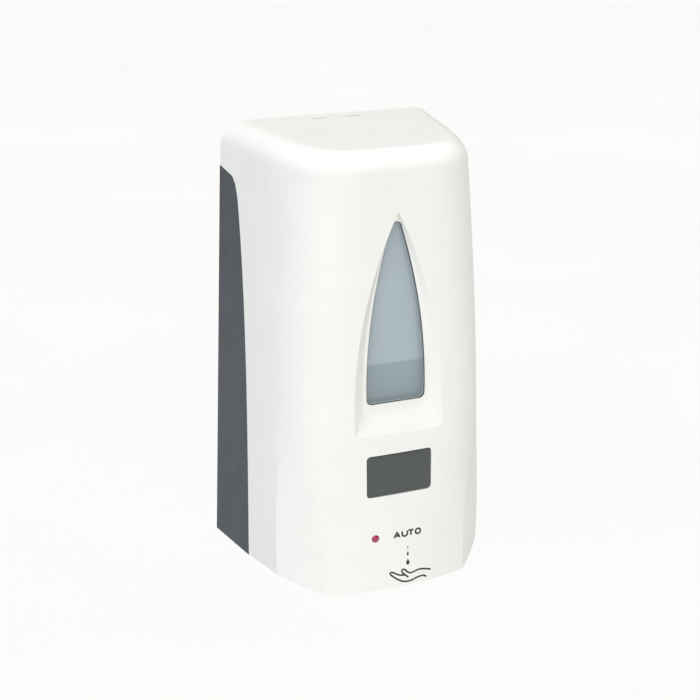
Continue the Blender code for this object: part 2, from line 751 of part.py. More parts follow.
def screw(name, x, depth, height, length, radius):
    """A pan-head screw into the wall side, its head's seat at the depth."""
    profile = [(0, 2.0), (radius * 1.5, 1.6), (radius * 2.2, 0.7), (radius * 2.2, 0), (radius, 0)]
    profile += [(radius, 1.2 - length), (0.2, -length), (0, -length)]
    made = turned(name, profile, (x, depth, height), "forward", "steel", steps=12)
    for k, (u, v) in enumerate(((radius * 1.4, 0.35), (0.35, radius * 1.4))):
        slot = box(f"{name}_slot_{k}", (x - u, depth + 1.1, height - v), (x + u, depth + 3, height + v))
        combine(made, "DIFFERENCE", slot)
    return made


def make_screws():
    for k, (x, height) in enumerate(BOSSES):
        screw(f"chassis_screw_{k + 1}", x, 46.8, height, 18, 1.3)
    for k, (x, height) in enumerate(GEARBOX_SCREWS):
        screw(f"gearbox_screw_{k + 1}", x, CASE[1] + GAP, height, CASE[1] - 43.4, 1.1)
    for k, side in enumerate((-1, 1)):
        screw(f"board_screw_{k + 1}", side * 37, BOARD[1] + GAP, 24, 7, 1.0)


def make_battery_bay():
    """The open-bottomed bay, its four cells, and the strips that join them."""
    bay = box("battery_bay", (-33, 12, 4), (33, 32, 61), "grey_plastic")
    room = box("battery_room", (-31.4, 13.8, 0), (31.4, 30.2, 59.2))
    combine(bay, "DIFFERENCE", room)
    for k in range(4):
        x = (k - 1.5) * CELL_PITCH
        profile = [(0, 51.2), (2.6, 51.2), (2.6, 50), (6.4, 50), (7.2, 49.2), (7.2, 0.6), (6.6, 0), (0, 0)]
        turned(f"battery_cell_{k + 1}", profile, (x, 22, 5.0), "up", "cell_jacket")
    for side, name in ((-1, "upper_contact_left"), (1, "upper_contact_right")):
        box(name, (side * (CELL_PITCH * 1.5 + 5), 17, 57.2), (side * (CELL_PITCH / 2 - 5), 27, 57.8), "brass")


def make_battery_door():
    """The door under the cells, with its hinge pin at the back and the strips it carries."""
    depth, height = DOOR_AXIS
    turns = [math.radians(180 - 30 * step) for step in range(5)]
    points = [(depth + 1.9 * math.cos(turn), height + 1.9 * math.sin(turn)) for turn in turns]
    points += [(depth + 4, 2.3), (33.4, 2.3), (33.4, 0.3), (depth, 0.3), (depth - 1.6, 1.1)]
    door = flat("battery_door", points, "side", -32.4, 32.4, "dark_plastic")
    for k in range(5):
        grip = box(f"door_grip_{k}", (-9, 22 + 2 * k, -0.5), (9, 23 + 2 * k, 0.8))
        combine(door, "DIFFERENCE", grip)
    bore = rod("door_bore", (-40, *DOOR_AXIS), (40, *DOOR_AXIS), 1.3)
    combine(door, "DIFFERENCE", bore)
    rod("door_pin", (-37.5, *DOOR_AXIS), (37.5, *DOOR_AXIS), 1.0, "steel", sides=12)
    box("lower_contact", (-CELL_PITCH / 2 - 5, 17, 2.6), (CELL_PITCH / 2 + 5, 27, 3.3), "brass")


def make_board():
    """The control board with the lamp and two sensor parts on it, and the window they look down through."""
    board = box("control_board", (-44, BOARD[0], 9), (44, BOARD[1], 42), "board_green")
    for side in (-1, 1):
        hole = rod(f"board_hole_{side}", (side * 37, 95, 24), (side * 37, 110, 24), 1.3, sides=12)
        combine(board, "DIFFERENCE", hole)
    chips = ((4, 26, 12, 10, 1.6), (22, 33, 6, 5, 1.2), (-31, 14, 7, 4, 3))
    for k, (x, height, wide, tall, deep) in enumerate(chips):
        low = (x - wide / 2, BOARD[1] - 0.4, height - tall / 2)
        chip = box(f"chip_{k}", low, (x + wide / 2, BOARD[1] + deep, height + tall / 2))
        combine(board, "UNION", chip)
    lamp = [(0, 7.4), (1.2, 7.0), (1.7, 6.0), (1.7, 1.2), (2.2, 1.2), (2.2, 0), (0, 0)]
    turned("status_lamp", lamp, (LED_X, BOARD[1] + GAP, LED_HEIGHT), "forward", "red_lens", steps=16)
    for name, x in (("ir_emitter", 9.5), ("ir_receiver", 20.5)):
        dome = [(0, 6), (2.4, 6), (2.4, 2.2), (2.0, 1.0), (1.2, 0.3), (0, 0)]
        turned(name, dome, (x, 107.5, 4.2), "up", "smoked_plastic", steps=16)
    box("sensor_window", (4.8, 104.2, 1.8), (25.3, 110.8, 3.8), "smoked_plastic")


def make_switch():
    """The power switch above the tray and its sliding knob."""
    body = box("switch_body", (36, 55, TRAY[1] + GAP), (50, 67, 11), "dark_plastic")
    room = box("switch_room", (39.2, 58.4, 0), (46.8, 63.6, 8))
    combine(body, "DIFFERENCE", room)
    knob = box("switch_knob", (39.6, 58.8, 3.2), (43.2, 63.2, 7.6), "grey_plastic")
    combine(knob, "UNION", box("knob_grip", (40, 59.6, 0.5), (42.8, 62.4, 4)))


def involute(angle):
    return math.tan(angle) - angle


def along(place, direction, distance):
    return (place[0] + distance * math.cos(direction), place[1] + distance * math.sin(direction))


def gear_outline(teeth, middle, phase):
    """Outline of a spur gear with thinned involute teeth, one of them centred on the phase."""
    pitch = MODULE * teeth / 2
    base = pitch * math.cos(PRESSURE_ANGLE)
    root = pitch - 1.25 * MODULE
    tip = pitch + 0.9 * MODULE
    half = math.pi / (2 * teeth) - BACKLASH / (2 * pitch)
    flank = []
    for radius in (max(base, root + 0.1), pitch, tip):
        turn = half + involute(PRESSURE_ANGLE) - involute(math.acos(min(base / radius, 1)))
        flank.append((radius, turn))
    flank.insert(0, (root, flank[0][1]))
    points = []
    for tooth in range(teeth):
        centre = phase + math.tau * tooth / teeth
        points += [along(middle, centre - turn, radius) for radius, turn in flank]
        points += [along(middle, centre + turn, radius) for radius, turn in reversed(flank)]
    return points


def idler_axis():
    return along(ROTOR_AXIS, IDLER_DIRECTION, MODULE * (ROTOR_TEETH + IDLER_PINION_TEETH) / 2)


def motor_axis():
    return along(idler_axis(), MOTOR_DIRECTION, MODULE * (IDLER_WHEEL_TEETH + MOTOR_TEETH) / 2)


def on_axis(place, depth):
    """The (x, depth, height) of a depth along an axis that is seen end on at the place."""
    return (place[0], depth, place[1])


def meshed_phase(teeth, direction):
    """Phase that puts a gap, not a tooth, towards the gear that this one meets."""
    return direction + math.pi / teeth


def make_gears():
    """The rotor with its gear, the two-step idler on its axle, and the motor's pinion."""
    idler, motor = idler_axis(), motor_axis()
    rotor_gear = gear_outline(ROTOR_TEETH, ROTOR_AXIS, IDLER_DIRECTION)
    rotor = flat("pump_rotor", rotor_gear, "front", 50.5, 54.5, "acetal")
    shaft = rod("rotor_shaft", on_axis(ROTOR_AXIS, 49), on_axis(ROTOR_AXIS, 85.6), 3.2)
    flange = rod("rotor_flange", on_axis(ROTOR_AXIS, 67.0), on_axis(ROTOR_AXIS, 68.8), 12.6, sides=32)
    combine(rotor, "UNION", shaft, flange)
    back_to_rotor = IDLER_DIRECTION + math.pi
    wheel = gear_outline(IDLER_WHEEL_TEETH, idler, MOTOR_DIRECTION)
    pinion = gear_outline(IDLER_PINION_TEETH, idler, meshed_phase(IDLER_PINION_TEETH, back_to_rotor))
    gear = flat("idler_gear", wheel, "front", 56.6, 60.6, "acetal")
    combine(gear, "UNION", flat("idler_pinion", pinion, "front", 49.5, 57))
    combine(gear, "DIFFERENCE", rod("idler_bore", on_axis(idler, 40), on_axis(idler, 70), 1.6))
    rod("idler_axle", on_axis(idler, 46.8), on_axis(idler, 63.4), 1.3, "steel", sides=16)
    driver = gear_outline(MOTOR_TEETH, motor, meshed_phase(MOTOR_TEETH, MOTOR_DIRECTION + math.pi))
    motor_pinion = flat("motor_pinion", driver, "front", 56, 61.2, "brass")
    combine(motor_pinion, "UNION", rod("motor_shaft", on_axis(motor, 54), on_axis(motor, 68), 1.0, sides=16))


def make_rollers():
    """Three rollers on pins between the rotor's flange and its front plate."""
    plate = rod("rotor_plate", on_axis(ROTOR_AXIS, 83.4), on_axis(ROTOR_AXIS, 85.2), 12.6, "acetal", sides=32)
    combine(plate, "DIFFERENCE", rod("plate_bore", on_axis(ROTOR_AXIS, 80), on_axis(ROTOR_AXIS, 90), 3.5))
    rotor = bpy.data.objects["pump_rotor"]
    for k in range(3):
        spot = along(ROTOR_AXIS, math.radians(90 + 120 * k), ROLLER_ORBIT)
        bore = rod(f"pin_bore_{k + 1}", on_axis(spot, 66), on_axis(spot, 90), 1.5, sides=16)
        combine(plate, "DIFFERENCE", bore)
        combine(rotor, "DIFFERENCE", bore)
        profile = [(ROLLER_RADIUS, 83), (ROLLER_RADIUS, 69.1), (1.5, 69.1), (1.5, 83)]
        turned(f"roller_{k + 1}", profile, (spot[0], 0, spot[1]), "forward", "acetal")
        rod(f"roller_pin_{k + 1}", on_axis(spot, 67.3), on_axis(spot, 85), 1.2, "steel", sides=16)


def tube_path():
    """The tube's middle line in the pump's plane: down from the tank, round the rotor, down to the nozzle."""
    x, height = ROTOR_AXIS
    top, low = height + TUBE_ORBIT, height - TUBE_ORBIT
    first, last = (VALVE_X + TUBE_BEND, top + TUBE_BEND), (TUBE_BEND, low - TUBE_BEND)
    line = [(VALVE_X, 64.2)]
    line += [along(first, math.radians(180 + 15 * step), TUBE_BEND) for step in range(7)]
    line += [along((x, height), math.radians(90 - 11.25 * step), TUBE_ORBIT) for step in range(17)]
    line += [along(last, math.radians(90 + 15 * step), TUBE_BEND) for step in range(7)]
    line.append((0, 7.4))
    return line


def make_pump():
    """The pump's housing round the rotor, the squeezed tube and the nozzle below it."""
    line = tube_path()
    path = [(x, PUMP_DEPTH, height) for x, height in line]
    tube = swept("pump_tube", path, TUBE_RADIUS, "silicone")
    inside = [(line[0][0], PUMP_DEPTH, 70)] + path[1:-1] + [(0, PUMP_DEPTH, 2)]
    combine(tube, "DIFFERENCE", swept("tube_bore", inside, 1.4, sides=8))
    x, height = ROTOR_AXIS
    corners = rounded_rectangle((-6, 15.5), (36, 60.5), 4)
    housing = flat("pump_housing", corners, "front", 65, 84, "grey_plastic")
    reach = TUBE_RADIUS + GAP
    race = rod("pump_race", on_axis(ROTOR_AXIS, 66.6), on_axis(ROTOR_AXIS, 95), TUBE_ORBIT + reach, sides=40)
    shaft = rod("shaft_hole", on_axis(ROTOR_AXIS, 60), on_axis(ROTOR_AXIS, 70), 3.6)
    channels = []
    for k, level in enumerate((height + TUBE_ORBIT, height - TUBE_ORBIT)):
        low = (-10, PUMP_DEPTH - reach - 4, level - reach)
        channels.append(box(f"tube_channel_{k}", low, (x, 95, level + reach)))
    low = (-10, PUMP_DEPTH - reach - 4, 10)
    outlet = box("outlet_channel", low, (TUBE_BEND, 95, height - TUBE_ORBIT + reach))
    combine(housing, "DIFFERENCE", race, shaft, *channels, outlet)
    profile = [(4.1, 12), (4.1, 5.8), (6, 5.8), (6, 4.3), (4.1, 4.3), (4.1, 1.4), (3.4, 0.5), (1.5, 0.5)]
    profile += [(1.5, 7), (2.8, 7.1), (2.8, 12)]
    turned("outlet_nozzle", profile, (0, PUMP_DEPTH, 0), "up", "dark_plastic")


def make_gearbox():
    """The case over the gears, the plate behind them and the motor in front."""
    motor = motor_axis()
    corners = rounded_rectangle((-38, 16.5), (33.5, 57), 4)
    low, high = CASE
    case = flat("gearbox_case", corners, "front", low, high, "grey_plastic")
    room = flat("gear_room", rounded_rectangle((-29.5, 19), (31.5, 55), 4), "front", low - 2, high - 1.8)
    holes = [rod("rotor_hole", on_axis(ROTOR_AXIS, 58), on_axis(ROTOR_AXIS, 68), 3.6)]
    holes.append(rod("motor_hole", on_axis(motor, 58), on_axis(motor, 68), 2.2))
    holes.append(rod("axle_hole", on_axis(idler_axis(), 58), on_axis(idler_axis(), 63.7), 1.6))
    combine(case, "DIFFERENCE", room, *holes)
    plate = flat("gearbox_plate", corners, "front", 46.8, 48, "steel")
    axle_hole = rod("plate_axle_hole", on_axis(idler_axis(), 40), on_axis(idler_axis(), 50), 1.6)
    combine(plate, "DIFFERENCE", axle_hole)
    for k, (x, height) in enumerate(GEARBOX_SCREWS):
        bore = rod(f"case_bore_{k}", (x, 40, height), (x, 70, height), 1.4, sides=12)
        combine(case, "DIFFERENCE", bore)
        combine(plate, "DIFFERENCE", bore)
    profile = [(0, 32), (3, 32), (3, 30), (10.6, 30), (11.8, 28.8), (11.8, 0.8), (11, 0)]
    profile += [(1.5, 0), (1.5, 6), (0, 6)]
    turned("motor_can", profile, on_axis(motor, CASE[1] + GAP), "forward", "steel", steps=24)


def tank_outline(inset):
    """Right half of the tank's plan, from its back corner to its front corner."""
    corner, front = (47 - inset, 84 - inset * 0.4), (38 - inset * 0.4, 94 - inset)
    return [(54 - inset, 8 + inset), (51 - inset, 62), corner, front]


def make_tank():
    """The soap tank with its neck and sight front, the soap, the valve in its floor and the seal below it."""
    tank = flat("reservoir", mirrored(tank_outline(0)), "plan", TANK_LOW, TANK_HIGH, "tank_plastic")
    neck = box("tank_neck", (-23.5, 42, TANK_HIGH - 1), (23.5, 80, TANK_HIGH + 3))
    low, high = TANK_LOW + TANK_WALL, TANK_HIGH - TANK_WALL
    room = flat("tank_room", mirrored(tank_outline(TANK_WALL)), "plan", low, high)
    mouth = box("tank_mouth", (-21.5, 44, TANK_HIGH - 5), (21.5, 78, TANK_HIGH + 5))
    outlet = rod("tank_outlet", (VALVE_X, PUMP_DEPTH, 60), (VALVE_X, PUMP_DEPTH, 72), 4.9)
    near, far = SIGHT
    sight = flat("tank_sight", mirrored(lens_outline(1.5)), "front", near, far)
    sight_room = mirrored(lens_outline(-0.5))
    sight_room = flat("sight_room", sight_room, "front", near + TANK_WALL, far - TANK_WALL)
    combine(tank, "UNION", neck, sight)
    depth, height = LID_AXIS
    for side in (-1, 1):
        foot = (side * 25.4, depth - 2.6, TANK_HIGH - 1)
        ear = box(f"lid_ear_{side}", foot, (side * 29, depth + 2.6, height + 2.4))
        combine(tank, "UNION", ear)
    pin = rod("lid_ear_bore", (-40, *LID_AXIS), (40, *LID_AXIS), 1.3, sides=16)
    combine(tank, "DIFFERENCE", room, sight_room, mouth, outlet, pin)
    soap = flat("soap_fill", mirrored(tank_outline(TANK_WALL + GAP)), "plan", 67.4, SOAP_LEVEL + 2, "soap")
    front = flat("soap_front", mirrored(lens_outline(-0.5 - GAP)), "front", 80, far - TANK_WALL - GAP)
    pocket = rod("soap_pocket", (VALVE_X, PUMP_DEPTH, 60), (VALVE_X, PUMP_DEPTH, 69.4), 8)
    above = box("soap_cut", (-60, 0, SOAP_LEVEL), (60, 120, 250))
    combine(soap, "UNION", front)
    combine(soap, "DIFFERENCE", pocket, above)
    profile = [(1.5, 68.8), (7.4, 68.8), (7.4, 67.3), (4.6, 67.3), (4.6, 60.6)]
    profile += [(2.9, 60.6), (2.9, 64.6), (1.5, 64.7)]
    turned("reservoir_valve", profile, (VALVE_X, PUMP_DEPTH, 0), "up", "acetal")
    ring = [(4.9, 64.7), (7.0, 64.7), (7.0, 62.4), (4.9, 62.4)]
    turned("seal_ring", ring, (VALVE_X, PUMP_DEPTH, 0), "up", "rubber")


def make_lid():
    """The tank's flip lid with its hinge pin and the seal under it."""
    depth, height = LID_AXIS
    lid = box("reservoir_lid", (-25, depth, 208.6), (25, 82, 210.6), "white_plastic")
    knuckle = rod("lid_knuckle", (-25.1, *LID_AXIS), (25.1, *LID_AXIS), 2.4)
    lip = box("lid_lip", (-8, 81, 208.7), (8, 85, 210.5))
    bore = rod("lid_bore", (-30, *LID_AXIS), (30, *LID_AXIS), 1.3, sides=16)
    combine(lid, "UNION", knuckle, lip)
    combine(lid, "DIFFERENCE", bore)
    seal = box("lid_seal", (-21.1, 44.4, 206.4), (21.1, 77.3, 208.3), "rubber")
    combine(seal, "DIFFERENCE", box("seal_room", (-18.8, 46.7, 200), (18.8, 75, 207.2)))
    rod("lid_hinge_pin", (-28.7, *LID_AXIS), (28.7, *LID_AXIS), 1.0, "steel", sides=12)


clear_scene()
parts = new_collection("soap_dispenser")
cutters = new_collection("cutters")
cutters.hide_render = True
make_cover()
make_window()
make_panel()
make_led_lens()
make_housing()
make_hinge_pins()
make_latch()
make_chassis()
make_screws()
make_battery_bay()
make_battery_door()
make_board()
make_switch()
make_gears()
make_rollers()
make_pump()
make_gearbox()
make_tank()
make_lid()
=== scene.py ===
"""Looks of the wall-mounted soap dispenser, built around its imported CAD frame.

Lengths in the shape functions are millimetres: x from the middle plane, depth forward from the wall and
height up from the bottom edge. at() turns such a place into metres in the frame.
"""

import json
import math

import bmesh
import bpy
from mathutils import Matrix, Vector
from mathutils.bvhtree import BVHTree
from mathutils.geometry import barycentric_transform


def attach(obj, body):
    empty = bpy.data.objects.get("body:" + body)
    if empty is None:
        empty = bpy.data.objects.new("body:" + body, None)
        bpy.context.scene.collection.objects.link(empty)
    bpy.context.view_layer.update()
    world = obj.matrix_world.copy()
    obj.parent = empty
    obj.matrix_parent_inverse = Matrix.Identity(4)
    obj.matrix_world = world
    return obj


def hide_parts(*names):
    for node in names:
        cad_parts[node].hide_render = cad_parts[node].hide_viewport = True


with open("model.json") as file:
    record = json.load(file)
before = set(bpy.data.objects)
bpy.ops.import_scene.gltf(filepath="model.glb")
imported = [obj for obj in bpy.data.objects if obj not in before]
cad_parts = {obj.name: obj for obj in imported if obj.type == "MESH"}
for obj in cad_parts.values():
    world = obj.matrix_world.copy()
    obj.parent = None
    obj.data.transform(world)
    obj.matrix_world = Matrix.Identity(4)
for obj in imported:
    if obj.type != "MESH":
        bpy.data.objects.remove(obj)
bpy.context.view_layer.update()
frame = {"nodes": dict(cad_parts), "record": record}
nodes = frame["nodes"]

MM = 0.001
GAP = 0.3
# Cutters reach this far to each side, past the body.
BEYOND = 100
# Corners closer than this are merged, in metres.
WELD = 0.00001

# The body.
HEIGHT = 270.0
WALL_HALF_BOTTOM = 81.5
WALL_HALF_TOP = 70.7
SIDE_DEPTH = 82.4
SIDE_HALF = 68.8
SIDE_HALF_HEIGHT = 55.0
SIDE_HALF_CURVE = 2.57e-4
FRONT_DEPTH_TOP = 107.1
FRONT_LEAN = 9.0
FRONT_LEAN_HEIGHT = 235.0
FRONT_HALF = 46.4
FRONT_BOW = 7.9
CHAMFER_BULGE = 0.75
ROUND_START = 30.0
ROUND_POWER = 4.0
ROUND_CORNER = math.radians(50)
CREASE_FADE = (10.0, 110.0)
TOP_SLOPE = 0.0275
TOP_ROUND_SIDE = 14.8
TOP_ROUND_FRONT = 11.8
SHOULDER_DROP = 25.0
SPINE_SET_BACK = 12.0
WALL = 2.5

# How finely the body is divided, and where columns stand beside each crease.
FINE_COLUMNS = 66
FINE_ROWS = 62
COARSE_COLUMNS = 24
COARSE_ROWS = 16
CREASE_COLUMNS = (-0.03, -0.014, -0.006, 0.006, 0.014, 0.03)

# The cover's bottom edge as (depth, height), and the seam between the cover and the housing.
COVER_FOOT = [(38, 0), (82.4, 3.3), (108.2, -2.6), (116.1, -1.8), (130, -1.8)]
FOOT_ROOM = 6.0
JOINT_BOTTOM = 44.7
JOINT_BELLY = 46.0
JOINT_TOP = 22.5
JOINT_TOP_HEIGHT = 236.0
HOUSING_TOP = 243.0

# The recess, its bed, the window in it and the backing behind it.
# A pointed arch is its apex, the height where it is widest, its half width and its bottom.
RIM = (232.5, 112.0, 28.2, 99.0)
RIM_CORNER = 0.8
LENS = (232.0, 125.0, 18.6, 116.8)
LENS_CORNER = 3.6
LENS_TIP = 225.8
LENS_TIP_LENGTH = 3.0
LENS_TIP_STEPS = 6
LENS_TOP_DEPTH = 104.0
LENS_TILT = 0.018
LENS_FLANGE = 2.4
LENS_SEAT = 102.6
BED_MARGIN = 2.0
BED_CORNER = 9.0
BED_DROP = 1.5
BED_BOTTOM = 111.5
# How far each ring of the recess has come from the bed to the rim: across the front, then forward.
RECESS_PROFILE = (
    (0.05, 0.006), (0.1, 0.035), (0.16, 0.09), (0.3, 0.235), (0.6, 0.56), (0.965, 0.955), (1.02, 1.0),
)
BACKING_DEPTH = 101.0
BACKING_MARGIN = 3
WINDOW_CUT = (90, 112)
FRONT_CUT = (100, 130)

# The blank panel and the status lamp.
PANEL_HALF = 20.8
PANEL_LOW = 59.9
PANEL_HIGH = 86.0
PANEL_CORNER = 2.2
LED_X = -15.8
LED_HEIGHT = 32.7
LED_RADIUS = 2.3
LED_FIT = 0.15
# Radius of the lamp and how far it stands past the front, from its root to its tip.
LAMP_PROFILE = (
    (LED_RADIUS, -4.2), (LED_RADIUS, -0.3), (1.95, 0.0), (1.6, 0.25), (1.15, 0.42), (0.6, 0.5), (0.1, 0.52),
)
# Growth of the blank panel's outline and its depth under the front, from its flange to its face.
PANEL_PROFILE = (
    (2.5, WALL + 1.8), (2.5, WALL + GAP), (0, WALL + GAP), (0, 0.75), (-0.12, 0.42), (-0.45, 0.3),
)
PANEL_FACE = PANEL_PROFILE[-1]

# The key slots, the hinge arms and the catch lugs of the cover.
SLOT_DEPTH = 11.6
SLOT_INNER = 6.6
SLOT_OUTER = 15.8
SLOT_WIDTH = 2.0
SLOT_HEIGHTS = (255, 280)
COVER_AXIS = (30.0, 4.0)
ARM_RADIUS = 3.4
ARM_BORE = 1.8
ARM_SIDES = (66.2, 69.2)
ARM_BORE_SIDES = (60, 75)
ARM_ROOT = [(72, 3.4), (72, 7.4)]
LUG_SIDES = (19, 25)
LUG_DEPTHS = (17, 21)
LUG_HEIGHTS = (254.6, 268)
WALL_CLEARANCE = 0.6

# How far the glass and the dark strip of painted shade in the gap round it lie under the recess's bed, and
# the print over the front.
GLASS_SINK = 0.35
GAP_SHADE_SINK = 1.3
PRINT_ROOT = -0.05
PRINT_LIFT = 0.04

# The soap's level and the softness of its line, and the height of the cells, in metres in the frame.
SOAP_LEVEL = 139.2
LEVEL_BLUR = 0.4
CELL_FOOT = -0.13
CELL_TOP = -0.079

# The floor and the camera, in metres and degrees.
FLOOR_DROP = 0.62
FLOOR_HALF = 80
CAMERA_PLACE = (-0.3276, -0.8373, 0.301)
CAMERA_YAW = 22.19
CAMERA_PITCH = 19.71
CAMERA_LENS = 74.777

PLANES = {
    "front": lambda u, v, w: (u, w, v),
    "side": lambda u, v, w: (w, u, v),
}


def at(x, depth, height):
    return Vector((x, -depth, height - HEIGHT / 2)) * MM


# ---- the body's surface ----


def wall_half(height):
    return WALL_HALF_BOTTOM + (WALL_HALF_TOP - WALL_HALF_BOTTOM) * height / HEIGHT


def side_half(height):
    return SIDE_HALF - SIDE_HALF_CURVE * (height - SIDE_HALF_HEIGHT) ** 2


def front_depth(height):
    """Depth of the front's middle, which leans forward towards the bottom."""
    return FRONT_DEPTH_TOP + FRONT_LEAN * max(1 - height / FRONT_LEAN_HEIGHT, 0) ** 1.2


def smooth_step(value):
    value = min(max(value, 0), 1)
    return value * value * (3 - 2 * value)


def crease(height):
    """How creased the outline is, from 1 at the bottom down to 0 higher up."""
    low, high = CREASE_FADE
    return smooth_step((high - height) / (high - low))


def side_line(height, depth):
    return wall_half(height) - (wall_half(height) - side_half(height)) * depth / SIDE_DEPTH


def creased_outline(height, t):
    """Outline low down. t is 0 at the wall, 1 and 2 at the creases and 3 at the middle of the front."""
    front = front_depth(height)
    corner = Vector((FRONT_HALF, front - FRONT_BOW))
    if t <= 1:
        return Vector((side_line(height, SIDE_DEPTH * t), SIDE_DEPTH * t))
    if t <= 2:
        start = Vector((side_half(height), SIDE_DEPTH))
        along = corner - start
        outward = Vector((along.y, -along.x)).normalized()
        return start + along * (t - 1) + outward * (4 * CHAMFER_BULGE * (t - 1) * (2 - t))
    left = 3 - t
    return Vector((FRONT_HALF * left, front - FRONT_BOW * left * left))


def round_outline(height, t):
    """Outline high up, with rounded corners and the same t."""
    front = front_depth(height)
    if t <= 1:
        depth = SIDE_DEPTH * t
        share = max((depth - ROUND_START) / (front - ROUND_START), 0)
        return Vector((side_line(height, depth) * (1 - share**ROUND_POWER) ** (1 / ROUND_POWER), depth))
    start = math.asin(((SIDE_DEPTH - ROUND_START) / (front - ROUND_START)) ** (ROUND_POWER / 2))
    if t <= 2:
        turn = start + (ROUND_CORNER - start) * (t - 1)
    else:
        share = math.cos(ROUND_CORNER) ** (2 / ROUND_POWER) * (3 - t)
        turn = math.acos(share ** (ROUND_POWER / 2))
    depth = ROUND_START + (front - ROUND_START) * math.sin(turn) ** (2 / ROUND_POWER)
    return Vector((side_line(height, depth) * max(math.cos(turn), 0) ** (2 / ROUND_POWER), depth))


def outline(height, t):
    """Right half of the body's outline at a height, as x and depth."""
    return round_outline(height, t).lerp(creased_outline(height, t), crease(height))


def inset_outline(height, t, inset):
    point = outline(height, t)
    if t <= 0:
        return Vector((point.x - inset, 0))
    if t >= 3:
        return Vector((0, point.y - inset))
    if inset == 0:
        return point
    along = outline(height, min(t + 0.02, 3)) - outline(height, max(t - 0.02, 0))
    return point + Vector((-along.y, along.x)).normalized() * inset


def top_height(depth):
    return HEIGHT - TOP_SLOPE * depth


def top_round(t):
    share = smooth_step((t - 0.8) / 1.7)
    return TOP_ROUND_SIDE + (TOP_ROUND_FRONT - TOP_ROUND_SIDE) * share


def body_column(t, inset, walls, rounds, caps):
    """Places up the body's wall, over its rounded shoulder and in to the middle of the top."""
    radius = top_round(t) - inset
    shoulder = top_height(outline(HEIGHT - SHOULDER_DROP, t).y) - top_round(t)
    points = []
    for share in walls:
        height = shoulder * share
        points.append((*inset_outline(height, t, inset), height))
    for ring in range(rounds + 1):
        turn = math.pi / 2 * ring / rounds
        plan = inset_outline(shoulder, t, inset + radius * (1 - math.cos(turn)))
        points.append((*plan, top_height(plan.y) - inset - radius * (1 - math.sin(turn))))
    x, depth, _ = points[-1]
    spine = min(depth, front_depth(HEIGHT) - TOP_ROUND_FRONT - SPINE_SET_BACK)
    for ring in range(1, caps + 1):
        share = ring / caps
        between = depth + (spine - depth) * share
        points.append((x * (1 - share), between, top_height(between) - inset))
    return points


def body_grid(inset, fine):
    """Columns of places over the whole body, left to right, each from the bottom edge to the top's middle."""
    if fine:
        even = {round(3 * k / FINE_COLUMNS, 4) for k in range(FINE_COLUMNS + 1)}
        shares = sorted(even | {crease_at + offset for crease_at in (1, 2) for offset in CREASE_COLUMNS})
        walls = [0, 0.004] + [k / FINE_ROWS * 0.985 for k in range(1, FINE_ROWS + 1)]
        rounds, caps = 14, 10
    else:
        shares = [3 * k / COARSE_COLUMNS for k in range(COARSE_COLUMNS + 1)]
        walls = [k / COARSE_ROWS * 0.97 for k in range(COARSE_ROWS + 1)]
        rounds, caps = 7, 5
    half = [body_column(t, inset, walls, rounds, caps) for t in shares]
    return [[(-x, d, h) for x, d, h in column] for column in half] + half[-2::-1]


def object_from(name, bm, look=None):
    mesh = bpy.data.meshes.new(name)
    bmesh.ops.recalc_face_normals(bm, faces=bm.faces)
    bm.to_mesh(mesh)
    bm.free()
    made = bpy.data.objects.new(name, mesh)
    bpy.context.scene.collection.objects.link(made)
    if look:
        mesh.materials.append(look)
    return made


def body_skin(inset, fine, behind, below):
    """The body's open skin, lengthened at its bottom edge, with its back edges moved behind the wall face."""
    columns = body_grid(inset, fine)
    for column in columns:
        column[0] = (column[0][0], column[0][1], -below)
    for column in (columns[0], columns[-1]):
        column[:] = [(x, -behind, h) for x, _, h in column]
    bm = bmesh.new()
    grid = [[bm.verts.new(at(*place)) for place in column] for column in columns]
    for left, right in zip(grid, grid[1:]):
        for low in range(len(left) - 1):
            bm.faces.new((left[low], right[low], right[low + 1], left[low + 1]))
    return bm, grid


def weld(bm):
    bmesh.ops.remove_doubles(bm, verts=bm.verts, dist=WELD)
    bmesh.ops.dissolve_degenerate(bm, edges=bm.edges, dist=WELD)


def body_object(name, inset, fine=True, behind=0.0, below=0.0, look=None):
    """The body as a closed solid."""
    bm, grid = body_skin(inset, fine, behind, below)
    bm.faces.new([column[0] for column in grid])
    bm.faces.new(grid[0] + grid[-1][-2::-1])
    weld(bm)
    return object_from(name, bm, look)


def surface_tree():
    """The open outer surface with smooth normals at its corners, to shade what is cut from it."""
    bm, _ = body_skin(0, True, 0, FOOT_ROOM)
    weld(bm)
    bmesh.ops.triangulate(bm, faces=bm.faces)
    bmesh.ops.recalc_face_normals(bm, faces=bm.faces)
    bm.normal_update()
    triangles = [[(v.co.copy(), v.normal.copy()) for v in face.verts] for face in bm.faces]
    tree = BVHTree.FromBMesh(bm)
    bm.free()
    place, normal = triangles[len(triangles) // 2][0]
    outward = normal.dot(place - at(0, SIDE_DEPTH / 2, HEIGHT / 2)) > 0
    return tree, triangles, 1 if outward else -1


def smooth_like_surface(made, surface):
    """Custom normals: those of the outer surface where a face lies on it, and the mesh's own elsewhere."""
    tree, triangles, sign = surface
    nearest, same_way = 0.0002, 0.9
    mesh = made.data
    mesh.shade_smooth()
    mesh.set_sharp_from_angle(angle=math.radians(30))
    normals = [(0.0, 0.0, 0.0)] * len(mesh.loops)
    for polygon in mesh.polygons:
        _, normal, _, distance = tree.find_nearest(polygon.center)
        if distance > nearest or normal.dot(polygon.normal) * sign < same_way:
            continue
        for loop in polygon.loop_indices:
            corner = mesh.vertices[mesh.loops[loop].vertex_index].co
            spot, _, index, _ = tree.find_nearest(corner)
            (a, na), (b, nb), (c, nc) = triangles[index]
            blended = barycentric_transform(spot, a, b, c, na, nb, nc) * sign
            normals[loop] = tuple(blended.normalized())
    mesh.normals_split_custom_set(normals)


# ---- outlines on the front ----


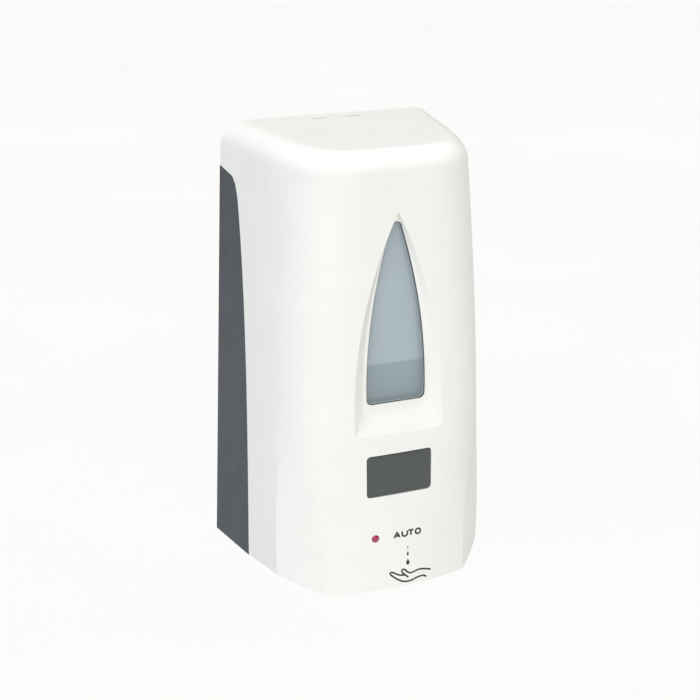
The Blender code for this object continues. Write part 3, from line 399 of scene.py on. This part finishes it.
def ogive(shape, height):
    """Half width of a pointed arch at a height."""
    apex, widest, half, _ = shape
    rise = apex - widest
    radius = (rise * rise + half * half) / (2 * half)
    return half - radius + math.sqrt(max(radius * radius - (height - widest) ** 2, 0))


def ogive_half(shape, corner, grow, tip=None, steps=44, corner_steps=8):
    """Right half of a pointed arch, from its bottom corner up to its tip, grown on every side."""
    apex, _, _, bottom = shape
    low = bottom - grow
    edge = ogive(shape, bottom) + grow
    points = []
    for step in range(corner_steps + 1):
        turn = math.pi / 2 * (step / corner_steps - 1)
        points.append((edge - corner + corner * math.cos(turn), low + corner + corner * math.sin(turn)))
    top = apex if tip is None else tip - LENS_TIP_LENGTH
    start = low + corner
    for step in range(1, steps + 1):
        height = start + (top - start) * step / steps
        points.append((ogive(shape, height) + grow, height))
    if tip is None:
        points[-1] = (0, apex + grow)
        return points
    wide, last = points[-1]
    for step in range(1, LENS_TIP_STEPS + 1):
        turn = math.pi / 2 * step / LENS_TIP_STEPS
        points.append((wide * math.cos(turn) ** 1.15, last + (tip + grow - last) * math.sin(turn) ** 0.9))
    points[-1] = (0, tip + grow)
    return points


def mirrored(half):
    return half + [(-x, v) for x, v in reversed(half) if x > 0.001]


def rim_outline(grow=0.0):
    return mirrored(ogive_half(RIM, RIM_CORNER, grow))


def bed_outline():
    apex, widest, half, _ = LENS
    shape = (apex - BED_DROP, widest, half + BED_MARGIN, BED_BOTTOM)
    return mirrored(ogive_half(shape, BED_CORNER, 0))


def lens_outline(grow):
    return mirrored(ogive_half(LENS, LENS_CORNER, grow, LENS_TIP))


def lens_depth(height):
    return LENS_TOP_DEPTH + (LENS_TIP - height) * LENS_TILT


def surface_depth(x, height):
    """Depth of the front at a place, found by halving the stretch of the outline that holds it."""
    low, high = 1.2, 3.0
    for _ in range(34):
        t = (low + high) / 2
        if outline(height, t).x > abs(x):
            low = t
        else:
            high = t
    return outline(height, high).y


def rounded_rectangle(low, high, radius, steps=8):
    points = []
    centres = (
        (high[0] - radius, high[1] - radius),
        (low[0] + radius, high[1] - radius),
        (low[0] + radius, low[1] + radius),
        (high[0] - radius, low[1] + radius),
    )
    for quarter, (u, v) in enumerate(centres):
        for step in range(steps + 1):
            turn = math.pi / 2 * (quarter + step / steps)
            points.append((u + radius * math.cos(turn), v + radius * math.sin(turn)))
    return points


def panel_outline(grow):
    low = (-PANEL_HALF - grow, PANEL_LOW - grow)
    high = (PANEL_HALF + grow, PANEL_HIGH + grow)
    return rounded_rectangle(low, high, PANEL_CORNER + grow)


# ---- mesh helpers ----


def loft(name, rings, look=None):
    """A closed skin through rings of the same number of places, with its two ends filled."""
    bm = bmesh.new()
    layers = [[bm.verts.new(at(*place)) for place in ring] for ring in rings]
    for inner, outer in zip(layers, layers[1:]):
        for k, corner in enumerate(inner):
            after = (k + 1) % len(inner)
            bm.faces.new((corner, inner[after], outer[after], outer[k]))
    bm.faces.new(layers[0])
    bm.faces.new(layers[-1])
    return object_from(name, bm, look)


def prism(name, points, plane, low, high, look=None):
    place = PLANES[plane]
    return loft(name, [[place(u, v, w) for u, v in points] for w in (low, high)], look)


def block(name, low, high, look=None):
    points = [(low[0], low[2]), (high[0], low[2]), (high[0], high[2]), (low[0], high[2])]
    return prism(name, points, "front", low[1], high[1], look)


def circle(u, v, radius, sides=40):
    turns = [math.tau * k / sides for k in range(sides)]
    return [(u + radius * math.cos(turn), v + radius * math.sin(turn)) for turn in turns]


def carve(made, operation, *others):
    """Applies a Boolean with each of the others, which are used up."""
    for other in others:
        step = made.modifiers.new(operation, "BOOLEAN")
        step.operation = operation
        step.object = other
        graph = bpy.context.evaluated_depsgraph_get()
        mesh = bpy.data.meshes.new_from_object(made.evaluated_get(graph))
        made.modifiers.clear()
        old = made.data
        made.data = mesh
        mesh.name = made.name
        bpy.data.meshes.remove(old)
        bpy.data.objects.remove(other)
    return made


def smooth(made, degrees=30):
    made.data.shade_smooth()
    made.data.set_sharp_from_angle(angle=math.radians(degrees))
    return made


# ---- materials ----


def new_material(name):
    made = bpy.data.materials.new(name)
    made.use_nodes = True
    tree = made.node_tree
    return made, tree, tree.nodes["Principled BSDF"]


def link(tree, source, target):
    tree.links.new(source, target)


def object_coordinates(tree, scale=(1, 1, 1)):
    place = tree.nodes.new("ShaderNodeTexCoord")
    mapping = tree.nodes.new("ShaderNodeMapping")
    mapping.inputs["Scale"].default_value = scale
    link(tree, place.outputs["Object"], mapping.inputs["Vector"])
    return mapping.outputs["Vector"]


def noise(tree, vector, scale, detail=3.0, roughness=0.5):
    made = tree.nodes.new("ShaderNodeTexNoise")
    made.inputs["Scale"].default_value = scale
    made.inputs["Detail"].default_value = detail
    made.inputs["Roughness"].default_value = roughness
    link(tree, vector, made.inputs["Vector"])
    return made.outputs["Fac"]


def ramp(tree, factor, low, high, start=0.3, end=0.7):
    made = tree.nodes.new("ShaderNodeValToRGB")
    made.color_ramp.elements[0].position = start
    made.color_ramp.elements[0].color = (*low, 1)
    made.color_ramp.elements[1].position = end
    made.color_ramp.elements[1].color = (*high, 1)
    link(tree, factor, made.inputs["Fac"])
    return made.outputs["Color"]


def spread(tree, factor, low, high):
    made = tree.nodes.new("ShaderNodeMapRange")
    made.inputs["To Min"].default_value = low
    made.inputs["To Max"].default_value = high
    link(tree, factor, made.inputs["Value"])
    return made.outputs["Result"]


def colour_by(tree, shader, factor, low, high):
    link(tree, ramp(tree, factor, low, high), shader.inputs["Base Color"])


def roughness_by(tree, shader, factor, low, high):
    link(tree, spread(tree, factor, low, high), shader.inputs["Roughness"])


def bump(tree, height, strength, distance):
    made = tree.nodes.new("ShaderNodeBump")
    made.inputs["Strength"].default_value = strength
    made.inputs["Distance"].default_value = distance
    link(tree, height, made.inputs["Height"])
    return made.outputs["Normal"]


def shade(colour, amount):
    return tuple(min(max(c * amount, 0), 1) for c in colour)


def plastic(name, colour, rough, grain=2600, depth=0.000012, vary=0.03, shine=0.5):
    """Moulded plastic: slight cloudiness in its colour and gloss, and a fine moulded grain."""
    made, tree, shader = new_material(name)
    vector = object_coordinates(tree)
    cloud = noise(tree, vector, 28, 4)
    colour_by(tree, shader, cloud, shade(colour, 1 - vary), shade(colour, 1 + vary))
    roughness_by(tree, shader, noise(tree, vector, 90, 5), rough * 0.85, rough * 1.15)
    fine = noise(tree, vector, grain, 2)
    link(tree, bump(tree, fine, 0.5, depth), shader.inputs["Normal"])
    shader.inputs["Specular IOR Level"].default_value = shine
    return made


def metal(name, colour, rough, stretch=(1, 1, 1), scale=900):
    """Drawn or machined metal with fine lines along one way."""
    made, tree, shader = new_material(name)
    vector = object_coordinates(tree, stretch)
    lines = noise(tree, vector, scale, 4, 0.6)
    colour_by(tree, shader, lines, shade(colour, 0.82), shade(colour, 1.08))
    roughness_by(tree, shader, lines, rough * 0.7, rough * 1.3)
    link(tree, bump(tree, lines, 0.4, 0.00002), shader.inputs["Normal"])
    shader.inputs["Metallic"].default_value = 1.0
    return made


def see_through(name, colour, share, rough=0.12, tint=(1, 1, 1), vary=0.05):
    """A tinted skin that shows what is behind it: a share of it is clear, the rest is the plastic itself."""
    made, tree, shader = new_material(name)
    vector = object_coordinates(tree)
    cloud = noise(tree, vector, 22, 4)
    colour_by(tree, shader, cloud, shade(colour, 1 - vary), shade(colour, 1 + vary))
    roughness_by(tree, shader, noise(tree, vector, 120, 4), rough * 0.8, rough * 1.2)
    clear = tree.nodes.new("ShaderNodeBsdfTransparent")
    clear.inputs["Color"].default_value = (*tint, 1)
    mix = tree.nodes.new("ShaderNodeMixShader")
    mix.inputs["Fac"].default_value = share
    out = tree.nodes["Material Output"]
    link(tree, shader.outputs["BSDF"], mix.inputs[1])
    link(tree, clear.outputs["BSDF"], mix.inputs[2])
    link(tree, mix.outputs["Shader"], out.inputs["Surface"])
    return made


def tank_material():
    """Milky plastic of the tank, which looks darker up to the level of the soap behind it."""
    made = see_through("tank_plastic", (0.84, 0.89, 0.92), 0.15, 0.3)
    tree = made.node_tree
    shader = tree.nodes["Principled BSDF"]
    split = tree.nodes.new("ShaderNodeSeparateXYZ")
    link(tree, object_coordinates(tree), split.inputs["Vector"])
    level = tree.nodes.new("ShaderNodeMapRange")
    level.inputs["From Min"].default_value = (SOAP_LEVEL - HEIGHT / 2 - LEVEL_BLUR) * MM
    level.inputs["From Max"].default_value = (SOAP_LEVEL - HEIGHT / 2 + LEVEL_BLUR) * MM
    link(tree, split.outputs["Z"], level.inputs["Value"])
    tint = ramp(tree, level.outputs["Result"], (0.56, 0.62, 0.62), (1.0, 1.0, 1.0), 0.0, 1.0)
    cloudy = shader.inputs["Base Color"].links[0].from_socket
    wet = tree.nodes.new("ShaderNodeMix")
    wet.data_type = "RGBA"
    wet.blend_type = "MULTIPLY"
    wet.inputs["Factor"].default_value = 1.0
    link(tree, cloudy, wet.inputs["A"])
    link(tree, tint, wet.inputs["B"])
    link(tree, wet.outputs["Result"], shader.inputs["Base Color"])
    return made


def lamp_material():
    """Dark red lens of the status lamp, faintly lit."""
    made, tree, shader = new_material("red_lens")
    vector = object_coordinates(tree)
    core = noise(tree, vector, 500, 2)
    colour_by(tree, shader, core, (0.26, 0.006, 0.045), (0.36, 0.016, 0.085))
    shader.inputs["Roughness"].default_value = 0.12
    shader.inputs["Emission Color"].default_value = (0.8, 0.01, 0.12, 1)
    shader.inputs["Emission Strength"].default_value = 0.05
    shader.inputs["Coat Weight"].default_value = 0.6
    return made


def board_material():
    """Green solder mask with copper tracks under it."""
    made, tree, shader = new_material("board_green")
    vector = object_coordinates(tree)
    bricks = tree.nodes.new("ShaderNodeTexBrick")
    bricks.inputs["Scale"].default_value = 160
    bricks.inputs["Mortar Size"].default_value = 0.035
    bricks.inputs["Color1"].default_value = (0.012, 0.13, 0.05, 1)
    bricks.inputs["Color2"].default_value = (0.014, 0.15, 0.055, 1)
    bricks.inputs["Mortar"].default_value = (0.05, 0.3, 0.12, 1)
    turn = tree.nodes.new("ShaderNodeMapping")
    turn.inputs["Rotation"].default_value = (math.radians(90), 0, 0)
    link(tree, vector, turn.inputs["Vector"])
    link(tree, turn.outputs["Vector"], bricks.inputs["Vector"])
    link(tree, bricks.outputs["Color"], shader.inputs["Base Color"])
    link(tree, bump(tree, bricks.outputs["Fac"], 0.3, 0.00004), shader.inputs["Normal"])
    roughness_by(tree, shader, noise(tree, vector, 60, 3), 0.22, 0.38)
    return made


def cell_material():
    """Printed jacket of a cell: a dark sleeve under a light and a green band, between bare metal ends."""
    made, tree, shader = new_material("cell_jacket")
    vector = object_coordinates(tree)
    split = tree.nodes.new("ShaderNodeSeparateXYZ")
    link(tree, vector, split.inputs["Vector"])
    bands = tree.nodes.new("ShaderNodeValToRGB")
    bands.color_ramp.interpolation = "CONSTANT"
    level = tree.nodes.new("ShaderNodeMapRange")
    level.inputs["From Min"].default_value = CELL_FOOT
    level.inputs["From Max"].default_value = CELL_TOP
    link(tree, split.outputs["Z"], level.inputs["Value"])
    link(tree, level.outputs["Result"], bands.inputs["Fac"])
    stops = bands.color_ramp.elements
    bare_foot, sleeve, light_band = (0.5, 0.5, 0.5, 1), (0.02, 0.09, 0.2, 1), (0.55, 0.57, 0.58, 1)
    green_band, bare_top = (0.03, 0.25, 0.2, 1), (0.6, 0.6, 0.58, 1)
    stops[0].color = bare_foot
    stops[1].position = 0.03
    stops[1].color = sleeve
    for position, colour in ((0.7, light_band), (0.76, green_band), (0.95, bare_top)):
        stop = stops.new(position)
        stop.color = colour
    link(tree, bands.outputs["Color"], shader.inputs["Base Color"])
    roughness_by(tree, shader, noise(tree, vector, 200, 3), 0.2, 0.35)
    shader.inputs["Metallic"].default_value = 0.5
    return made


def print_material():
    """Dark grey ink of the mode word and the picture."""
    made, tree, shader = new_material("grey_print")
    vector = object_coordinates(tree)
    ink = noise(tree, vector, 1400, 3)
    colour_by(tree, shader, ink, (0.018, 0.021, 0.02), (0.032, 0.036, 0.034))
    roughness_by(tree, shader, ink, 0.4, 0.6)
    return made


WHITE = (0.83, 0.84, 0.82)
DARK = (0.038, 0.049, 0.061)
SMOKED = (0.058, 0.068, 0.068)
looks = {
    "white_plastic": plastic("white_plastic", WHITE, 0.38, 2200, depth=0.000008, vary=0.012, shine=0.22),
    "dark_plastic": plastic("dark_plastic", DARK, 0.42, 1500, depth=0.00003, vary=0.08, shine=0.27),
    "smoked_plastic": plastic("smoked_plastic", SMOKED, 0.2, 2000, depth=0.000005, vary=0.05),
    "grey_plastic": plastic("grey_plastic", (0.4, 0.42, 0.44), 0.5, 1300, depth=0.00003, vary=0.06),
    "acetal": plastic("acetal", (0.78, 0.78, 0.73), 0.42, 1800, depth=0.00001, vary=0.03),
    "rubber": plastic("rubber", (0.028, 0.028, 0.03), 0.75, 1800, depth=0.00004, vary=0.2),
    "silicone": plastic("silicone", (0.72, 0.76, 0.75), 0.35, 900, depth=0.00001, vary=0.04),
    "steel": metal("steel", (0.58, 0.58, 0.57), 0.3, (1, 1, 12)),
    "brass": metal("brass", (0.72, 0.55, 0.26), 0.32, (1, 14, 1)),
    "tank_plastic": tank_material(),
    "soap": see_through("soap", (0.27, 0.37, 0.43), 0.25, 0.1),
    "clear_plastic": see_through("clear_plastic", (0.44, 0.5, 0.54), 0.74, 0.08, (0.96, 0.985, 1.0)),
    "red_lens": lamp_material(),
    "board_green": board_material(),
    "cell_jacket": cell_material(),
    "grey_print": print_material(),
}


def dress_nodes():
    """Every CAD node gets the finish of its slot."""
    for part in frame["record"]["subparts"]:
        made = nodes[part["node"]]
        made.data.materials.clear()
        made.data.materials.append(looks[part["material_slot"]])


# ---- the pieces that stand for CAD nodes ----


def recess_cutter():
    """What is hollowed from the front round the window, from its bed at the glass out to its rim."""
    bed = [Vector((x, lens_depth(h), h)) for x, h in bed_outline()]
    edge = [Vector((x, surface_depth(x, h), h)) for x, h in rim_outline()]
    rings = [bed]
    for share, rise in RECESS_PROFILE:
        ring = []
        for low, high in zip(bed, edge):
            place = low.lerp(high, share)
            ring.append(Vector((place.x, low.y + (high.y - low.y) * rise, place.z)))
        rings.append(ring)
    rings[-1] = [Vector((p.x, surface_depth(p.x, p.z) + 0.01, p.z)) for p in rings[-1]]
    rings.append([Vector((p.x, FRONT_CUT[1] + 10, p.z)) for p in rings[-1]])
    return loft("recess_cutter", rings)


def joint_depth(height):
    """Depth of the seam between the cover and the housing."""
    share = height / JOINT_TOP_HEIGHT
    belly = (JOINT_BELLY - JOINT_BOTTOM) * 4 * share * (1 - share)
    return JOINT_BOTTOM + belly - (JOINT_BOTTOM - JOINT_TOP) * share**2.6


def back_region(offset):
    """Side outline of the room behind the seam, grown by an offset."""
    points = [(-5, -9), (joint_depth(0) + offset, -9)]
    points += [(joint_depth(height) + offset, height) for height in range(4, 230, 6)]
    points += [
        (joint_depth(230) + offset - 0.3, 230),
        (JOINT_TOP + offset - 1.6, JOINT_TOP_HEIGHT + offset * 0.5),
        (JOINT_TOP + offset - 5.5, JOINT_TOP_HEIGHT + 3.6 + offset),
        (-5, HOUSING_TOP + offset + 1.5),
    ]
    return points


def hinge_arm(side):
    """Arm inside the cover's foot, rounded where its hinge pin passes."""
    depth, height = COVER_AXIS
    turns = [math.radians(90 + 11.25 * step) for step in range(17)]
    points = [(depth + ARM_RADIUS * math.cos(turn), height + ARM_RADIUS * math.sin(turn)) for turn in turns]
    return prism("hinge_arm", points + ARM_ROOT, "side", side * ARM_SIDES[0], side * ARM_SIDES[1])


def side_block(name, side, sides, depths, heights):
    """A block on one side of the middle plane."""
    low, high = sorted(side * x for x in sides)
    return block(name, (low, depths[0], heights[0]), (high, depths[1], heights[1]))


def make_cover(surface):
    """The front shell with its recess, window, holes, key slots, hinge arms and catch lugs."""
    cover = body_object("cover_shell", 0, below=FOOT_ROOM, look=looks["white_plastic"])
    carve(cover, "DIFFERENCE", recess_cutter())
    carve(cover, "DIFFERENCE", prism("rear", back_region(GAP), "side", -BEYOND, BEYOND))
    hollow = body_object("hollow", WALL, fine=False, behind=6, below=FOOT_ROOM + 2)
    backing = prism("backing", rim_outline(BACKING_MARGIN), "front", BACKING_DEPTH, FRONT_CUT[1])
    seat = prism("seat", lens_outline(BACKING_MARGIN), "front", WINDOW_CUT[0], LENS_SEAT)
    carve(backing, "DIFFERENCE", seat)
    carve(hollow, "DIFFERENCE", backing)
    carve(cover, "DIFFERENCE", hollow)
    under = [(-10, -12), (130, -12), *reversed(COVER_FOOT), (-10, 0)]
    carve(cover, "DIFFERENCE", prism("under", under, "side", -BEYOND, BEYOND))
    carve(cover, "DIFFERENCE", prism("opening", lens_outline(GAP), "front", *WINDOW_CUT))
    carve(cover, "DIFFERENCE", prism("panel_hole", panel_outline(GAP), "front", *FRONT_CUT))
    lamp_circle = circle(LED_X, LED_HEIGHT, LED_RADIUS + LED_FIT)
    carve(cover, "DIFFERENCE", prism("lamp_hole", lamp_circle, "front", *FRONT_CUT))
    carve(cover, "DIFFERENCE", block("clearance", (-90, -5, -8), (90, WALL_CLEARANCE, 280)))
    slot_depths = (SLOT_DEPTH - SLOT_WIDTH / 2, SLOT_DEPTH + SLOT_WIDTH / 2)
    for side in (-1, 1):
        slot = side_block("key_slot", side, (SLOT_INNER, SLOT_OUTER), slot_depths, SLOT_HEIGHTS)
        lug = side_block("catch_lug", side, LUG_SIDES, LUG_DEPTHS, LUG_HEIGHTS)
        bore_ends = [side * x for x in ARM_BORE_SIDES]
        bore = prism("arm_bore", circle(*COVER_AXIS, ARM_BORE), "side", *bore_ends)
        carve(cover, "DIFFERENCE", slot)
        carve(cover, "UNION", hinge_arm(side), lug)
        carve(cover, "DIFFERENCE", bore)
    smooth_like_surface(cover, surface)
    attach(cover, "cover")
    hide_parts("front_cover")


def make_glass():
    """The window: a flange behind the front, and a face with rounded edges that stands in the opening."""
    seat = LENS_SEAT - GAP
    rings = [
        [(x, BACKING_DEPTH, h) for x, h in lens_outline(LENS_FLANGE)],
        [(x, seat, h) for x, h in lens_outline(LENS_FLANGE)],
        [(x, seat, h) for x, h in lens_outline(0)],
    ]
    for grow, sink in ((0, 0.3), (-0.1, 0.06), (-0.3, 0)):
        rings.append([(x, lens_depth(h) - GLASS_SINK - sink, h) for x, h in lens_outline(grow)])
    glass = smooth(loft("window_glass", rings, looks["clear_plastic"]), 35)
    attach(glass, "cover")
    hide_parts("window_lens")


def make_gap_shade_strip():
    """A thin dark strip in the gap round the window: painted shade standing for the shadowed gap, in the
    rubber finish.
    """
    bm = bmesh.new()
    rings = []
    outer, inner, face = GAP + 0.12, -0.06, GLASS_SINK + 0.02
    for grow, sink in ((outer, GAP_SHADE_SINK), (outer, face), (inner, face), (inner, GAP_SHADE_SINK)):
        rings.append([bm.verts.new(at(x, lens_depth(h) - sink, h)) for x, h in lens_outline(grow)])
    for ring, following in zip(rings, rings[1:] + rings[:1]):
        for k, corner in enumerate(ring):
            after = (k + 1) % len(ring)
            bm.faces.new((corner, ring[after], following[after], following[k]))
    # The strip's dark rubber colour is painted shade where the gap round the window lies in shadow.
    gap_shade = smooth(object_from("window_gap_shade", bm, looks["rubber"]), 35)
    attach(gap_shade, "cover")


def make_panel():
    """The blank dark panel, whose face follows the front."""
    middle = (PANEL_LOW + PANEL_HIGH) / 2
    rings = []
    for grow, sink in PANEL_PROFILE:
        rings.append([(x, surface_depth(x, h) - sink, h) for x, h in panel_outline(grow)])
    inset, sink = PANEL_FACE
    face = panel_outline(inset)
    for scale in (0.85, 0.65, 0.45, 0.25, 0.08):
        ring = [(x * scale, middle + (h - middle) * scale) for x, h in face]
        rings.append([(x, surface_depth(x, h) - sink, h) for x, h in ring])
    panel = smooth(loft("blank_panel", rings, looks["smoked_plastic"]), 35)
    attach(panel, "cover")
    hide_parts("front_panel")


def make_lamp():
    """The domed lens of the status lamp."""
    depth = surface_depth(LED_X, LED_HEIGHT)
    rings = []
    for radius, rise in LAMP_PROFILE:
        rings.append([(x, depth + rise, h) for x, h in circle(LED_X, LED_HEIGHT, radius, 36)])
    lamp = smooth(loft("lamp_lens", rings, looks["red_lens"]), 40)
    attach(lamp, "cover")
    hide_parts("led_lens")


def divided(line, length):
    """The line's places with more between them, none farther apart than about twice the length."""
    dense = []
    for (ax, ah), (bx, bh) in zip(line, line[1:]):
        count = max(1, int(math.hypot(bx - ax, bh - ah) / length))
        dense += [Vector((ax + (bx - ax) * k / count, ah + (bh - ah) * k / count)) for k in range(count)]
    return dense + [Vector(line[-1])]


def stroke_edges(bm, dense, width):
    """Four corners of the stroke at each place: the left pair and the right pair, each from root to face."""
    closed = (dense[0] - dense[-1]).length < 0.01
    edges = []
    for k, place in enumerate(dense):
        before = dense[k - 1] if k else (dense[-2] if closed else place)
        after = dense[k + 1] if k + 1 < len(dense) else (dense[1] if closed else place)
        way = (after - before).normalized()
        across = Vector((-way.y, way.x)) * width / 2
        pair = []
        for spot in (place + across, place - across):
            depth = surface_depth(spot.x, spot.y)
            pair.append([bm.verts.new(at(spot.x, depth + up, spot.y)) for up in (PRINT_ROOT, PRINT_LIFT)])
        edges.append(pair)
    return edges


def ribbon(name, lines, width):
    """Printed strokes that follow the front surface: each is a list of (x, height) places."""
    bm = bmesh.new()
    for line in lines:
        edges = stroke_edges(bm, divided(line, 0.8), width)
        for first, second in zip(edges, edges[1:]):
            (a0, a1), (b0, b1) = first
            (c0, c1), (d0, d1) = second
            bm.faces.new((a1, b1, d1, c1))
            bm.faces.new((a0, c0, d0, b0))
            bm.faces.new((a0, a1, c1, c0))
            bm.faces.new((b0, d0, d1, b1))
        for (a0, a1), (b0, b1) in (edges[0], edges[-1]):
            bm.faces.new((a0, b0, b1, a1))
    made = object_from(name, bm, looks["grey_print"])
    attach(made, "cover")


def arc(u, v, radius_u, radius_v, start, end, steps=18):
    turns = [math.radians(start + (end - start) * k / steps) for k in range(steps + 1)]
    return [(u + radius_u * math.cos(turn), v + radius_v * math.sin(turn)) for turn in turns]


def patch(name, outlines, middles):
    """Solid printed shapes that follow the front surface, each fanned from its own middle."""
    bm = bmesh.new()
    for outline_points, (mx, mh) in zip(outlines, middles):
        layers = []
        for up in (PRINT_ROOT, PRINT_LIFT):
            ring = [bm.verts.new(at(x, surface_depth(x, h) + up, h)) for x, h in outline_points]
            layers.append((ring, bm.verts.new(at(mx, surface_depth(mx, mh) + up, mh))))
        (low, low_middle), (high, high_middle) = layers
        for k, corner in enumerate(low):
            after = (k + 1) % len(low)
            bm.faces.new((corner, low[after], high[after], high[k]))
            bm.faces.new((corner, low_middle, low[after]))
            bm.faces.new((high[k], high[after], high_middle))
    made = object_from(name, bm, looks["grey_print"])
    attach(made, "cover")


def curved(points, steps=5):
    """The points joined by a smooth curve through all of them."""
    line = [points[0], *points, points[-1]]
    made = []
    for k in range(1, len(line) - 2):
        a, b, c, d = (Vector(line[k + o]) for o in (-1, 0, 1, 2))
        for step in range(steps):
            t = step / steps
            place = b * 2 + (c - a) * t + (a * 2 - b * 5 + c * 4 - d) * t * t + (b * 3 - a - c * 3 + d) * t**3
            made.append(tuple(place / 2))
    made.append(tuple(points[-1]))
    return made


def make_mode_word():
    """A plain word for the mode, as strokes."""
    low, top, wide = 31.4, 34.8, 3.5
    middle = (low + top) / 2
    letter_a = [(-3.9, low), (-2.0, top), (-0.2, low)]
    letter_u = [(1.4, top)] + arc(1.4 + wide / 2, low + 1.5, wide / 2, 1.5, 180, 360) + [(1.4 + wide, top)]
    letter_t = [(5.6, top - 0.1), (9.0, top - 0.1)]
    letter_o = arc(12.1, middle - 0.1, 1.7, 1.65, 90, 450, 28)
    bar_a, stem_t = [(-3.2, low + 1.0), (-0.8, low + 1.0)], [(7.3, top), (7.3, low)]
    ribbon("mode_word", [letter_a, bar_a, letter_u, letter_t, stem_t, letter_o], 1.15)


def make_drop_picture():
    """Three drops, each larger than the one above it."""
    x = 5.1
    drops, middles = [], []
    for height, half, tall in ((23.4, 0.42, 1.3), (19.1, 0.72, 1.8), (13.4, 1.15, 2.7)):
        drops.append([(x, height + tall)] + arc(x, height, half, half * 1.3, 150, 390, 14))
        middles.append((x, height))
    patch("drop_picture", drops, middles)


def make_hand_picture():
    """An open hand under the drops, as its upper and lower line."""
    upper = [
        (21.2, 5.0), (18.9, 5.8), (15.9, 6.7), (12.4, 7.1), (9.2, 6.4), (6.7, 6.1),
        (4.8, 7.1), (3.3, 8.8), (1.8, 9.5), (1.0, 8.6), (1.6, 7.0), (3.2, 5.5), (5.4, 3.4),
    ]
    lower = [
        (2.9, 5.5), (-0.3, 6.0), (-3.6, 7.7), (-5.5, 8.8), (-6.7, 8.3), (-5.8, 6.7), (-2.5, 3.9),
        (0.8, 1.8), (3.6, 1.0), (7.1, 1.0), (11.2, 2.0), (14.7, 2.4), (16.5, 2.0), (18.0, 0.8),
    ]
    ribbon("hand_picture", [curved(upper), curved(lower)], 1.1)


# ---- light, floor and camera ----


def soft_sun(name, azimuth, elevation, strength, colour):
    """A broad light from an azimuth right of the front and an elevation, both in degrees."""
    data = bpy.data.lights.new(name, "SUN")
    data.energy = strength
    data.color = colour
    data.angle = math.radians(50)
    made = bpy.data.objects.new(name, data)
    turn, rise = math.radians(azimuth), math.radians(elevation)
    source = Vector((math.sin(turn) * math.cos(rise), -math.cos(turn) * math.cos(rise), math.sin(rise)))
    made.rotation_euler = source.to_track_quat("Z", "Y").to_euler()
    bpy.context.scene.collection.objects.link(made)


def make_floor():
    bm = bmesh.new()
    bmesh.ops.create_grid(bm, x_segments=8, y_segments=8, size=FLOOR_HALF)
    floor = object_from("floor", bm)
    floor.location = (0, 0, -FLOOR_DROP)
    made, tree, shader = new_material("pale_floor")
    cloud = noise(tree, object_coordinates(tree), 1.5, 2)
    colour_by(tree, shader, cloud, (0.8, 0.8, 0.8), (0.82, 0.82, 0.815))
    shader.inputs["Roughness"].default_value = 0.9
    shader.inputs["Specular IOR Level"].default_value = 0.2
    shader.inputs["Emission Color"].default_value = (1, 1, 1, 1)
    shader.inputs["Emission Strength"].default_value = 0.03
    floor.data.materials.append(made)


def make_lights():
    world = bpy.data.worlds.new("studio")
    world.use_nodes = True
    world.node_tree.nodes["Background"].inputs["Color"].default_value = (1, 1, 1, 1)
    world.node_tree.nodes["Background"].inputs["Strength"].default_value = 0.15
    bpy.context.scene.world = world
    soft_sun("key", -15, 15, 1.24, (1.0, 0.954, 0.853))
    soft_sun("side", -60, 15, 0.7, (0.706, 0.856, 1.0))
    soft_sun("top", 0, 85, 2.8, (1.0, 0.98, 0.972))


def make_camera():
    data = bpy.data.cameras.new("camera")
    data.sensor_width = 36
    data.lens = CAMERA_LENS
    data.clip_start = 0.05
    camera = bpy.data.objects.new("camera", data)
    yaw, pitch = math.radians(CAMERA_YAW), math.radians(CAMERA_PITCH)
    camera.location = CAMERA_PLACE
    way = Vector((math.sin(yaw) * math.cos(pitch), math.cos(yaw) * math.cos(pitch), -math.sin(pitch)))
    camera.rotation_euler = way.to_track_quat("-Z", "Y").to_euler()
    bpy.context.scene.collection.objects.link(camera)
    bpy.context.scene.camera = camera
    bpy.context.scene.view_settings.view_transform = "Standard"


dress_nodes()
outer_surface = surface_tree()
make_cover(outer_surface)
make_glass()
make_gap_shade_strip()
make_panel()
make_lamp()
make_mode_word()
make_drop_picture()
make_hand_picture()
make_floor()
make_lights()
make_camera()
